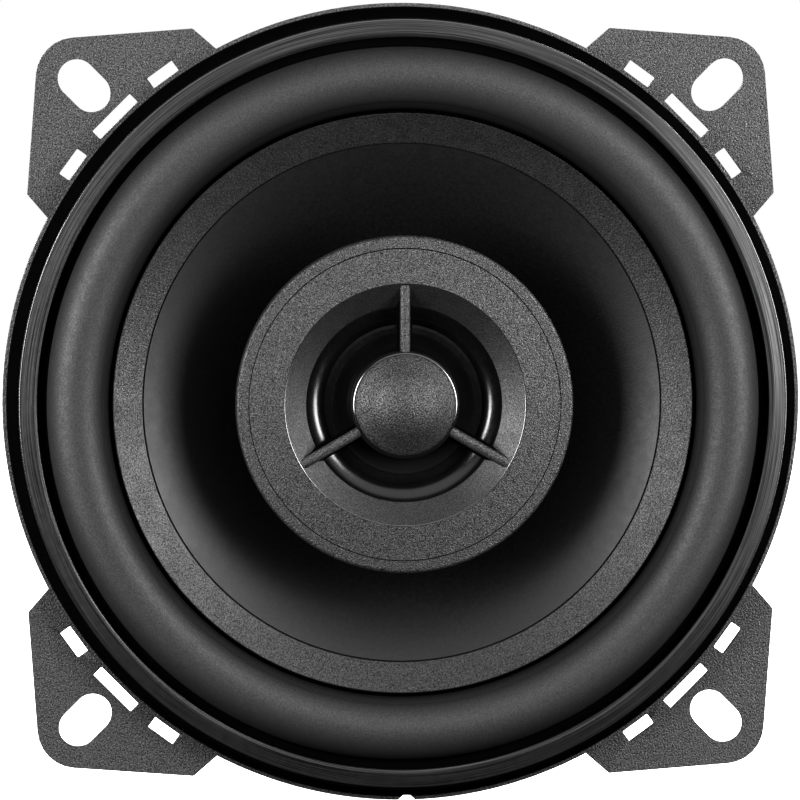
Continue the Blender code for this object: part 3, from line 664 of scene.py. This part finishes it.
def ear_outline():
    """An ear's plate in the upper right quarter, reaching into the rim's own sheet."""
    root_x, root_y = 23.45, 45.45
    shoulder_x, shoulder_y = 27.2, 48.7
    corners = [
        (root_y, root_x, 0.0),
        (shoulder_y, shoulder_x, 0.4),
        (47.2, 47.2, 5.1),
        (shoulder_x, shoulder_y, 0.4),
        (root_x, root_y, 0.0),
    ]
    end = math.degrees(math.atan2(root_y, root_x))
    inner = arc((0, 0), 51.3, end, 90 - end, 24)
    outer = [(root_y, root_x)]
    for index in (1, 2, 3):
        before, here, after = corners[index - 1], corners[index], corners[index + 1]
        outer += corner(before[:2], here[:2], after[:2], here[2])
    return outer + [(root_x, root_y)] + inner[1:-1]


def ear_cuts(diagonal):
    """The slot and the three perforations of the ear on a diagonal."""
    slot = obround(SLOT_LENGTH, SLOT_WIDTH)
    holes = [(slot, turn(diagonal) @ shift(SLOT_PLACE * math.sqrt(2), 0))]
    holes.append((eased(rectangle(1.5, 6.9), 0.15), turn(diagonal) @ shift(52.75, 0)))
    for side in (-1, 1):
        way = turn(diagonal + side * math.radians(9.0))
        holes.append((eased(rectangle(1.6, 4.0), 0.15), way @ shift(52.85, 0)))
    return [prism("ear_cut", [outline], -1.0, 2.0, matrix) for outline, matrix in holes]


def notch_cut():
    middle = 0.65
    half_mouth = 1.175
    half_floor = 0.45
    depth = 0.65
    outline = [
        (middle - half_mouth, -RIM_RADIUS - 1),
        (middle + half_mouth, -RIM_RADIUS - 1),
        (middle + half_mouth, -RIM_RADIUS),
        (middle + half_floor, -RIM_RADIUS + depth),
        (middle - half_floor, -RIM_RADIUS + depth),
        (middle - half_mouth, -RIM_RADIUS),
    ]
    return prism("notch_cut", [outline], -1.0, 2.0)


def round_hole(radius, low, high, matrix):
    return prism("hole_cut", [arc((0, 0), radius, 0, 350, 35)], low, high, matrix)


def soften_plate_edges(thing, width):
    """Rounds the edges of the ears and of the rim's lip, in the ears' front and rear planes."""
    inner_end = 51.7
    slack = 0.01
    shape = bmesh.new()
    shape.from_mesh(thing.data)
    chosen = []
    for edge in shape.edges:
        if len(edge.link_faces) != 2 or edge.calc_face_angle(0.0) < math.radians(60):
            continue
        places = [vertex.co / MM for vertex in edge.verts]
        if all(math.hypot(place.x, place.z) > inner_end for place in places):
            depths = [-place.y for place in places]
            if any(all(abs(depth - plane) < slack for depth in depths) for plane in (SHEET, 0)):
                chosen.append(edge)
    bmesh.ops.bevel(
        shape,
        geom=chosen,
        offset=width * MM,
        segments=2,
        profile=0.5,
        affect="EDGES",
        clamp_overlap=True,
    )
    shape.to_mesh(thing.data)
    shape.free()


def make_basket():
    basket = basket_shell()
    for quarter in range(4):
        ear = prism("ear", [ear_outline()], 0.0, SHEET, turn(quarter * math.pi / 2))
        combine(basket, ear, "UNION")
    window = eased(rectangle(40.0, 8.0), 2.5)
    for quarter in range(4):
        angle = quarter * math.pi / 2
        place = radial_frame(angle) @ shift(0, -8.6)
        combine(basket, prism("window_cut", [window], 25.0, 60.0, place))
        for cut in ear_cuts(angle + math.pi / 4):
            combine(basket, cut)
        place = turn(angle + math.pi / 4) @ shift(RIVET_CIRCLE, 0)
        combine(basket, round_hole(1.8, FLOOR_Z - 2, FLOOR_Z + 1, place))
    for side in (-1, 1):
        place = shift(side * BOARD_RIVET_X, BOARD_RIVET_Y)
        combine(basket, round_hole(1.5, SHELF_Z - 2, SHELF_Z + 1, place))
    combine(basket, notch_cut())
    soften_plate_edges(basket, 0.1)
    basket.name = "basket_painted"
    piece(basket, "coat", "frame", "basket")
    front_z = SHEET + 0.02
    # painted shade on the rim's drawn wall and on the landing in the gap under the trim ring
    paint(basket, "shade", lambda r, z, tilt: 46.0 < r < LIP and z > front_z and tilt > 0.05)
    # painted shade: the lip round the rim takes the darker coat
    paint(basket, "rim_coat", lambda r, z, tilt: r > LIP and z > front_z)


def make_trim_ring():
    """Grooved ring round the surround, with a stepped outer edge and a soft inner one."""
    rear_z = 4.0
    inner, face_inner, face_outer, outer = 47.65, 48.3, 49.8, 50.35
    face_z = extent("trim_ring")[2]
    lean = 0.19
    edge_z = face_z - lean * 1.7
    face = []
    steps = 28
    for step in range(steps + 1):
        radius = face_outer - (face_outer - face_inner) * step / steps
        ripple = 0.0016 * math.sin(radius * 41.0) + 0.0012 * math.sin(radius * 67.0 + 1.0)
        face.append((radius, face_z - lean * (radius - face_inner) + ripple, 0.0))
    outline = [
        (inner, rear_z),
        (inner, face_z - 0.25, 0.05),
        (inner + 0.1, face_z - 0.12, 0.05),
        (48.1, face_z - 0.01, 0.10),
    ]
    outline += face[::-1]
    outline += [
        (50.02, edge_z + 0.02, 0.20),
        (50.06, edge_z - 0.45, 0.02),
        (50.18, edge_z - 0.45, 0.02),
        (outer, edge_z - 0.40, 0.06),
        (outer, rear_z, 0.06),
    ]
    ring = piece(turned("trim_ring_grooved", eased(outline)), "trim", "frame", "trim_ring")
    paint(ring, "trim_edge", lambda r, z, tilt: 49.82 < r < 50.06 and z > edge_z - 0.4)
    # painted shade on the ring's outer wall and on its inner edge
    paint(ring, "shade", lambda r, z, tilt: r > 50.1 or r < inner + 0.02)


# Cone and suspension

CONE_RIM = 37.8
CONE_RIM_Z = 3.9
CREASE = 33.8
CREASE_Z = 2.1
NECK = 10.6
NECK_Z = -12.4
ROLL_INNER = 38.2
ROLL_OUTER = 46.9


def make_surround():
    thickness = 0.6
    crest = extent("surround")[2]
    land_z = LANDING_Z + 0.3 + thickness
    foot_z = CONE_RIM_Z - thickness - 0.4
    middle = 42.75
    bend = 3.75
    steepest = 76
    crown = arc((middle, crest - bend), bend, 90 - steepest, 90 + steepest, 48)
    start_r, start_z = crown[0]
    end_z = crown[-1][1]
    outer_foot = arc((ROLL_OUTER, start_z), (ROLL_OUTER - start_r, start_z - land_z), 270, 190, 6)
    inner_foot = [
        (ROLL_INNER + 0.35, end_z - 0.5),
        (ROLL_INNER + 0.1, foot_z + 0.4),
        (ROLL_INNER, foot_z),
    ]
    inner_land = [(ROLL_INNER - 0.25, foot_z - 0.4), (34.7, foot_z - 2.2)]
    line = [(49.9, land_z)] + outer_foot + crown + inner_foot + inner_land
    roll = turned("surround_roll", sheet(line[::-1], thickness))
    flexible(roll, "rubber", "surround", radial_share(ROLL_OUTER, ROLL_INNER))
    # painted shade on the feet of the roll, by the trim ring and by the cone
    paint(roll, "shade", lambda r, z, tilt: r > ROLL_OUTER - 0.5 or r < ROLL_INNER + 0.05)


def make_cone():
    """Steep at the neck and flatter towards the crease, with a straight outer band."""
    thickness = 0.6
    line = []
    steps = 40
    for step in range(steps):
        share = step / steps
        radius = NECK + (CREASE - NECK) * share
        line.append((radius, NECK_Z + (CREASE_Z - NECK_Z) * share**0.78))
    slope = (CONE_RIM_Z - CREASE_Z) / (CONE_RIM - CREASE)
    line += [
        (CREASE - 0.12, CREASE_Z - 0.05),
        (CREASE, CREASE_Z - 0.22),
        (CREASE + 0.1, CREASE_Z + 0.1 * slope),
        (CONE_RIM - 0.12, CONE_RIM_Z - 0.12 * slope),
        (CONE_RIM - 0.02, CONE_RIM_Z - 0.12),
        (CONE_RIM, CONE_RIM_Z - 0.3),
    ]
    back = [(radius + 0.25, z - thickness) for radius, z in line[:steps]]
    back.append((CONE_RIM, CONE_RIM_Z - thickness))
    cone = piece(turned("cone_moulded", line + back[::-1]), "cone", "cone_group", "cone")
    # painted shade: the cone inside the crease takes the look whose reflections fade towards the neck
    paint(cone, "cone_inner", lambda r, z, tilt: r < CREASE - 0.05)
    seal = [(6.2, -10.2), (8.2, -9.5, 1.0), (10.4, -9.6, 1.0), (12.2, -10.5)]
    piece(turned("dust_seal_felt", sheet(seal, 0.4)), "felt", "cone_group", "dust_seal")
    ring_piece("former_sleeve", 9.9, 10.2, "former", "cone_group", "voice_coil_former")
    ring_piece("coil_winding", 10.35, 10.95, "copper", "cone_group", "voice_coil")


def ring_piece(name, inner, outer, look, body, node, edge=0.05):
    """A plain turned ring over the whole length of its CAD node."""
    _, rear, front = extent(node)
    outline = eased([(inner, front), (outer, front), (outer, rear), (inner, rear)], edge)
    return piece(turned(name, outline), look, body, node)


def make_spider():
    """A corrugated disc: flat at the former and at the shelf, with three waves between."""
    thickness = 0.4
    level_z = SHELF_Z + 0.3 + thickness
    start, end, waves = 12.2, 25.4, 3
    line = [(NECK + 0.1, level_z)]
    steps = 72
    for step in range(steps + 1):
        share = step / steps
        height = -0.7 * math.sin(2 * math.pi * waves * share)
        line.append((start + (end - start) * share, level_z + height))
    line.append((29.0, level_z))
    disc = turned("spider_cloth", sheet(line, thickness))
    flexible(disc, "spider", "spider", radial_share(end, start))


# Motor


def make_motor():
    radius, rear, front = extent("top_plate")
    top = eased([(11.4, front), (radius, front), (radius, rear), (11.4, rear)], 0.4)
    piece(turned("top_plate_zinc", top), "zinc", "frame", "top_plate")
    radius, rear, front = extent("magnet")
    magnet = eased([(15.0, front), (radius, front), (radius, rear), (15.0, rear)], 0.8)
    piece(turned("magnet_ferrite", magnet), "ferrite", "frame", "magnet")
    radius, rear, front = extent("yoke")
    plate_front = extent("magnet")[1] - 0.3
    yoke = [
        (3.4, front),
        (9.5, front, 0.5),
        (9.5, plate_front, 0.0),
        (radius, plate_front, 0.3),
        (radius, rear, 0.7),
        (7.0, rear, 0.25),
        (7.0, rear + 3.2, 0.1),
        (3.4, rear + 3.2, 0.1),
    ]
    piece(turned("yoke_zinc", eased(yoke)), "zinc", "frame", "yoke")
    seat = FLOOR_Z + 0.3
    rivet = [
        (0, seat + 0.9),
        (2.2, seat + 0.9, 0.5),
        (2.8, seat, 0.1),
        (1.5, seat, 0.0),
        (1.5, seat - 1.3),
        (0, seat - 1.3),
    ]
    for number in range(4):
        node = f"frame_rivet_{number + 1}"
        place = turn((number + 0.5) * math.pi / 2) @ shift(RIVET_CIRCLE, 0)
        piece(turned(f"{node}_head", eased(rivet), 48, place), "zinc_sheet", "frame", node)


def make_post():
    _, rear, front = extent("tweeter_post")
    collar = extent("yoke")[2] + 0.3
    bore, shank, flange, flange_height = 1.6, 3.1, 5.0, 1.2
    tube = [
        (bore, front),
        (shank, front),
        (shank, collar + flange_height),
        (flange, collar + flange_height),
        (flange, collar),
        (shank, collar),
        (shank, rear),
        (bore, rear),
    ]
    piece(turned("post_tube", eased(tube), 64), "zinc", "frame", "tweeter_post")
    ring_piece("washer_plain", 3.4, 6.2, "zinc_sheet", "frame", "post_washer", 0.15)
    _, rear, front = extent("post_nut")
    across_flats = 10.0
    hexagon = arc((0, 0), across_flats / math.sqrt(3), 0, 300, 5)
    hole = arc((0, 0), 3.4, 0, 350, 35)
    nut = prism("nut_body", [hexagon, hole], rear, front)
    chamfered = [
        (0, front),
        (5.05, front),
        (6.2, front - 0.7),
        (6.2, rear + 0.7),
        (5.05, rear),
        (0, rear),
    ]
    combine(nut, turned("nut_round", eased(chamfered, 0.0), 64), "INTERSECT")
    nut.name = "hex_nut"
    piece(nut, "zinc_sheet", "frame", "post_nut")


# Tweeter

HOUSING_RADIUS = extent("tweeter_housing")[0]
FACE_Z = 7.2
SEAM = 20.3
CROWN = 0.25  # how far the face rises to its bevel and falls to its seam
BEVEL = 15.7
MOUTH = 12.75
MOUTH_Z = 5.4
CAP = 7.05


def make_housing():
    outline = [
        (SEAM + 0.04, FACE_Z - CROWN + 0.02, 0.05),
        (HOUSING_RADIUS, FACE_Z - 1.5 * CROWN, 0.5),
        (HOUSING_RADIUS, 4.6, 0.5),
        (21.3, 3.9, 0.6),
        (15.2, 1.6, 1.5),
        (13.0, -0.4, 1.5),
        (12.2, -4.6, 0.6),
        (11.4, -5.6, 0.6),
        (5.0, -5.6, 1.0),
        (5.0, -9.0, 0.4),
        (3.3, -9.0),
        (3.3, -6.0),
        (1.8, -6.0),
        (1.8, -4.4),
        (10.9, -4.4),
        (10.9, 2.6),
        (13.4, 2.6),
        (13.4, 4.9),
        (SEAM + 0.04, 4.9),
    ]
    piece(turned("housing_moulded", eased(outline)), "plastic", "frame", "tweeter_housing")


def spoke(angle):
    """A bridge over the mouth, round on top and flared at its foot."""
    top_z = 7.4
    foot_z = 5.5
    neck_z = foot_z + 0.5
    crown = arc((0, top_z - 0.5), (0.68, 0.5), 0, 180, 12)
    section = [(-1.0, foot_z), (1.0, foot_z), (0.70, neck_z)] + crown + [(-0.70, neck_z)]
    return prism("spoke", [section], CAP - 1.5, 15.5, radial_frame(angle))


def cap_outline(flank_end, edge_z, under_z):
    """A round top, a straight flank that falls a little steeper, and a small rounded rim."""
    shoulder_tilt = 33.0
    top_radius = 7.8
    shoulder = top_radius * math.sin(math.radians(shoulder_tilt))
    fall = (flank_end - shoulder) * math.tan(math.radians(shoulder_tilt + 2))
    shoulder_z = edge_z + 0.1 + fall
    centre_z = shoulder_z - top_radius * math.cos(math.radians(shoulder_tilt))
    dome = [(0, centre_z + top_radius)]
    dome += arc((0, centre_z), top_radius, 90, 90 - shoulder_tilt, 24)[1:]
    for step in range(1, 6):
        share = step / 6
        dome.append((shoulder + (flank_end - shoulder) * share, shoulder_z - fall * share))
    dome += [(flank_end, edge_z + 0.1), (flank_end + 0.06, edge_z + 0.02)]
    dome += arc((CAP - 0.55, edge_z - 0.66), (0.55, 0.66), 80, 8, 12)
    return dome + [(CAP - 0.1, under_z + 0.1), (CAP - 0.25, under_z), (0, under_z)]


def make_bezel():
    """The ring with its bevelled mouth, the three spokes and the cap over the dome, in one piece."""
    top_z = FACE_Z + CROWN
    outline = [
        (MOUTH, MOUTH_Z, 0.1),
        (BEVEL, top_z, 0.24),
        (SEAM - 0.04, FACE_Z - CROWN, 0.06),
        (SEAM - 0.04, 5.3),
        (13.1, 5.3),
        (13.1, 4.8),
        (MOUTH, 4.8),
    ]
    bezel = turned("bezel_face", eased(outline))
    flank_end = CAP - 0.52
    edge_z = 7.55
    bridge = turned("cap", cap_outline(flank_end, edge_z, 6.4))
    for degrees in (90, 210, 330):
        combine(bridge, spoke(math.radians(degrees)), "UNION")
    combine(bezel, bridge, "UNION")
    bezel.name = "bezel_moulded"
    piece(bezel, "plastic", "frame", "tweeter_bezel")
    paint(bezel, "bevel", lambda r, z, tilt: MOUTH - 0.2 < r < BEVEL - 0.02 and z < top_z and tilt < 0.97)
    paint(bezel, "gloss", lambda r, z, tilt: flank_end < r < CAP + 0.05 and z < edge_z + 0.1 and tilt > 0.1)
    # painted shade on the spokes' flanks over the mouth
    paint(bezel, "shade", lambda r, z, tilt: CAP + 0.1 < r < MOUTH - 0.1 and z < 6.9 and tilt < 0.85)
    paint(bezel, "trim_edge", lambda r, z, tilt: -0.16 < r - BEVEL < 0.12 and z > top_z - 0.12)


def make_tweeter_motor():
    _, rear, front = extent("tweeter_yoke")
    floor_z, inner, outer = -2.4, 7.7, 10.6
    cup = [
        (0, floor_z),
        (inner, floor_z, 0.1),
        (inner, front, 0.1),
        (outer, front, 0.2),
        (outer, rear, 0.4),
        (0, rear),
    ]
    piece(turned("tweeter_yoke_cup", eased(cup)), "zinc", "frame", "tweeter_yoke")
    discs = [
        ("tweeter_magnet_disc", "tweeter_magnet", "nickel"),
        ("tweeter_pole_disc", "tweeter_pole_plate", "zinc"),
    ]
    for name, node, look in discs:
        radius, rear, front = extent(node)
        outline = eased([(0, front), (radius, front), (radius, rear), (0, rear)], 0.15)
        piece(turned(name, outline, 96), look, "frame", node)
    outline = eased([(9.6, 3.2), (13.1, 3.2), (13.1, 2.9), (9.6, 2.9)], 0.05)
    piece(turned("tweeter_frame_ring", outline), "inner", "frame", "tweeter_frame")
    ring_piece("tweeter_coil_winding", 6.5, 7.1, "copper", "tweeter_dome_group", "tweeter_voice_coil")


def make_tweeter_film():
    """A glossy half roll whose crest lies under the mouth's edge, and the dome that it carries."""
    thickness = 0.12
    crest_r, crest_z = 12.65, 4.74
    bend = 3.02
    foot_z = 3.62
    steepest = math.degrees(math.acos(1 - (crest_z - foot_z) / bend))
    roll = arc((crest_r, crest_z - bend), bend, 90 + steepest, 90, 28)
    line = [(9.25, foot_z + 0.02), (9.9, foot_z + 0.02, 0.2)] + roll + [(12.98, crest_z - 0.04)]
    ring = turned("tweeter_roll", sheet(line, thickness))
    flexible(ring, "film", "tweeter_surround", radial_share(12.5, 9.6))
    valley = 7.2
    top_z = 5.55
    front = [(0, top_z)] + arc((0, foot_z), (valley, top_z - foot_z), 90, 6, 28)[1:]
    front += [
        (valley + 0.15, foot_z - 0.05),
        (8.6, foot_z - 0.02),
        (9.0, foot_z + 0.16),
        (9.22, foot_z + 0.16),
    ]
    rear = [(max(radius - 0.06, 0.0), z - thickness) for radius, z in front]
    rear[0] = (0, top_z - thickness)
    film = turned("tweeter_dome_film", front + rear[::-1])
    piece(film, "damped_film", "tweeter_dome_group", "tweeter_dome")


# Terminals and leads

TAB_SIDES = {"positive": 1, "negative": -1}
TAB_WIDTHS = {"positive": 6.3, "negative": 4.8}
TAB_X = 6.0
TAB_RIVET_Y = -36.4
CAN_PLACE = (0, -33.9, -21.7)


def pin(name, head_radius, shank_radius, rear, front, head, place):
    """A riveted pin with a rounded head at each end."""
    outline = [
        (0, front + head),
        (head_radius - head / 3, front + head, head * 0.8),
        (head_radius, front, 0.05),
        (shank_radius, front, 0.0),
        (shank_radius, rear, 0.0),
        (head_radius, rear, 0.05),
        (head_radius - head / 3, rear - head, head * 0.8),
        (0, rear - head),
    ]
    return turned(name, eased(outline), 48, place)


def make_board():
    _, rear, front = extent("terminal_board")
    outline = [(x, y - 35.0) for x, y in eased(rectangle(21.0, 12.0), 1.0)]
    board = prism("board", [outline], rear, front, edge=0.1)
    for side in (-1, 1):
        for radius, x, y in ((1.5, BOARD_RIVET_X, BOARD_RIVET_Y), (1.2, TAB_X, TAB_RIVET_Y)):
            combine(board, round_hole(radius, rear - 1, front + 1, shift(side * x, y)))
    board.name = "terminal_board_laminate"
    piece(board, "phenolic", "frame", "terminal_board")
    for number, side in enumerate((-1, 1)):
        node = f"board_rivet_{number + 1}"
        place = shift(side * BOARD_RIVET_X, BOARD_RIVET_Y)
        rivet = pin(f"{node}_pin", 1.9, 1.2, rear - 0.3, SHELF_Z + 0.3, 0.6, place)
        piece(rivet, "zinc_sheet", "frame", node)
    for sign, side in TAB_SIDES.items():
        node = f"tab_rivet_{sign}"
        place = shift(side * TAB_X, TAB_RIVET_Y)
        rivet = pin(f"{node}_pin", 1.6, 0.9, rear - 1.4, front + 0.3, 0.5, place)
        piece(rivet, "tinned", "frame", node)
        make_tab(sign, side, rear - 0.3)


def make_tab(sign, side, base):
    """A push-on tab: a riveted base, a step, and a blade with a chamfered tip and a locking hole."""
    width = TAB_WIDTHS[sign]
    middle = side * TAB_X
    line = [(-34.0, base), (-38.4, base, 0.9), (-39.4, base - 1.3, 0.9), (-45.4, base - 1.3)]
    across = Matrix(((0, 0, 1), (1, 0, 0), (0, 1, 0))).to_4x4()
    low = middle - width / 2
    tab = prism("tab", [sheet(line[::-1], 0.8)], low, low + width, across)
    half = width / 2
    top_y, shoulder_y, tip_y = -33.0, -44.2, -45.4
    trim = [
        (-half, top_y),
        (half, top_y),
        (half, shoulder_y),
        (half - 1.1, tip_y),
        (-half + 1.1, tip_y),
        (-half, shoulder_y),
    ]
    blank = [(x + middle, y) for x, y in eased(trim, 0.2)]
    combine(tab, prism("tab_blank", [blank], base - 4, base + 1), "INTERSECT")
    combine(tab, round_hole(1.2, base - 2, base + 1, shift(middle, TAB_RIVET_Y)))
    combine(tab, round_hole(0.85, base - 4, base + 1, shift(middle, -42.0)))
    tab.name = f"terminal_{sign}_blade"
    piece(tab, "tinned", "frame", f"terminal_tab_{sign}")


def make_capacitor():
    radius, length = 2.5, 11.0
    half = length / 2
    outline = [
        (0, half - 0.2),
        (radius - 0.6, half - 0.2, 0.1),
        (radius - 0.5, half, 0.15),
        (radius, half - 0.4, 0.3),
        (radius, half - 1.4, 0.2),
        (radius - 0.18, half - 1.7, 0.2),
        (radius, half - 2.0, 0.2),
        (radius, -half + 0.4, 0.4),
        (radius - 0.5, -half, 0.15),
        (0, -half),
    ]
    along = shift(*CAN_PLACE) @ Matrix.Rotation(math.pi / 2, 4, "Y")
    can = turned("capacitor_can", eased(outline), 96, along)
    piece(can, "sleeve", "frame", "crossover_capacitor")


LEAD_ENDS = {
    "positive": [
        (4.4, -36.7, -25.2),
        (8.0, -36.4, -23.4),
        (8.8, -34.9, -22.0),
        (7.6, -33.9, -21.7),
        (6.4, -33.9, -21.7),
    ],
    "negative": [
        (-3.6, -38.0, -24.6),
        (-5.4, -39.6, -22.4),
        (-5.9, -38.9, -20.6),
        (-6.0, -37.4, -19.9),
    ],
}
TINSEL_ROUTE = [
    (6.0, -36.4, -14.05),
    (6.0, -38.0, -13.0),
    (6.0, -38.7, -11.0),
    (5.9, -36.8, -9.0),
    (5.6, -32.0, -7.7),
    (5.2, -26.5, -7.6),
    (5.0, -22.6, -6.9),
    (4.9, -20.8, -6.4),
]
LEAD_LOOKS = {"positive": "red_lead", "negative": "black_lead"}


def tinsel_share(place):
    """Still at the board, and with the cone at the cone."""
    return smoothstep(-38.5, -21.5, place.z)


def make_leads():
    """Two tweeter leads run out of the post and round the magnet; two tinsel leads reach the cone."""
    plate_z = extent("yoke")[1] - 0.9
    side_y = -(extent("magnet")[0] + 0.9)
    magnet_rear, magnet_front = extent("magnet")[1:]
    for sign, side in TAB_SIDES.items():
        x = 0.7 * side
        route = [
            (x, 0, -4.9),
            (x, 0, -24.0),
            (x, 0, -42.0),
            (x, -0.8, plate_z + 0.2),
            (x, -3.2, plate_z - 0.3),
            (x, -9.0, plate_z),
            (x, -32.0, plate_z),
            (x, side_y + 0.6, plate_z + 1.4),
            (x, side_y - 0.1, magnet_rear + 1.0),
            (1.3 * x, side_y, (magnet_rear + magnet_front) / 2),
            (2.4 * x, side_y, magnet_front),
        ]
        lead = wire(f"tweeter_wire_{sign}", smooth_route(route + LEAD_ENDS[sign]), 0.6)
        piece(lead, LEAD_LOOKS[sign], "frame", f"tweeter_lead_{sign}")
        mirrored = [(side * px, py, pz) for px, py, pz in TINSEL_ROUTE]
        tube = wire(f"tinsel_{sign}", smooth_route(mirrored), 0.45)
        flexible(tube, "braid", f"tinsel_lead_{sign}", tinsel_share)


# Stage


def make_floor():
    """A pale floor under the speaker, bright enough to stay white."""
    low_z = cad_box[0][2]
    bpy.ops.mesh.primitive_plane_add(size=8.0, location=(0, 0, low_z - 0.2 * MM))
    floor = bpy.context.object
    floor.name = "floor"
    look = Surface("pale_floor", grey(0.86), 0.8)
    look.vary_colour(look.noise(300.0), 0.01)
    look.shader.inputs["Emission Color"].default_value = (1, 1, 1, 1)
    look.shader.inputs["Emission Strength"].default_value = 1.0
    floor.data.materials.append(look.material)
    floor.visible_diffuse = False
    floor.visible_glossy = False


def soft_light(name, place, size, power):
    """A rectangular soft light at a place (x, y, z) in metres, aimed at the speaker."""
    data = bpy.data.lights.new(name, "AREA")
    data.shape = "RECTANGLE"
    data.size, data.size_y = size
    data.energy = power
    lamp = bpy.data.objects.new(name, data)
    lamp.location = place
    lamp.rotation_euler = (-Vector(place)).to_track_quat("-Z", "Y").to_euler()
    bpy.context.scene.collection.objects.link(lamp)


def make_lights():
    soft_light("left", (-0.276, -0.211, 0.052), (0.15, 0.20), 3.4)
    soft_light("right", (0.262, -0.225, 0.050), (0.14, 0.20), 2.8)
    soft_light("front_top", (0.08, -0.21, 0.16), (0.50, 0.30), 1.35)
    soft_light("rear_left", (-0.5, 0.6, 0.35), (0.4, 0.4), 12.0)
    soft_light("rear_right", (0.5, 0.5, 0.5), (0.4, 0.4), 12.0)
    world = bpy.data.worlds.new("studio")
    bpy.context.scene.world = world
    world.use_nodes = True
    world.node_tree.nodes["Background"].inputs["Color"].default_value = (1, 1, 1, 1)
    world.node_tree.nodes["Background"].inputs["Strength"].default_value = 1.0
    world.cycles_visibility.diffuse = False
    world.cycles_visibility.glossy = False


def make_camera():
    """A long lens a little to the left of the speaker's axis and a little above it."""
    azimuth, elevation = math.radians(4.3), math.radians(3.2)
    distance = 1.2
    field = 104.3 * MM
    sensor = 36.0
    data = bpy.data.cameras.new("camera")
    data.sensor_width = sensor
    data.lens = sensor * distance / field
    data.clip_start = 0.01
    data.clip_end = 50.0
    camera = bpy.data.objects.new("camera", data)
    level_share = math.cos(elevation)
    direction = Vector(
        (-math.sin(azimuth) * level_share, -math.cos(azimuth) * level_share, math.sin(elevation))
    )
    target = Vector((-0.18 * MM, -0.5 * MM, 0.27 * MM))
    camera.location = target + direction * distance
    camera.rotation_euler = (-direction).to_track_quat("-Z", "Y").to_euler()
    bpy.context.scene.collection.objects.link(camera)
    bpy.context.scene.camera = camera


make_camera()
make_lights()
make_floor()
make_basket()
make_trim_ring()
make_surround()
make_cone()
make_spider()
make_motor()
make_post()
make_housing()
make_bezel()
make_tweeter_motor()
make_tweeter_film()
make_board()
make_capacitor()
make_leads()

bpy.context.scene.view_settings.view_transform = "Standard"
bpy.context.scene.view_settings.gamma = 0.7
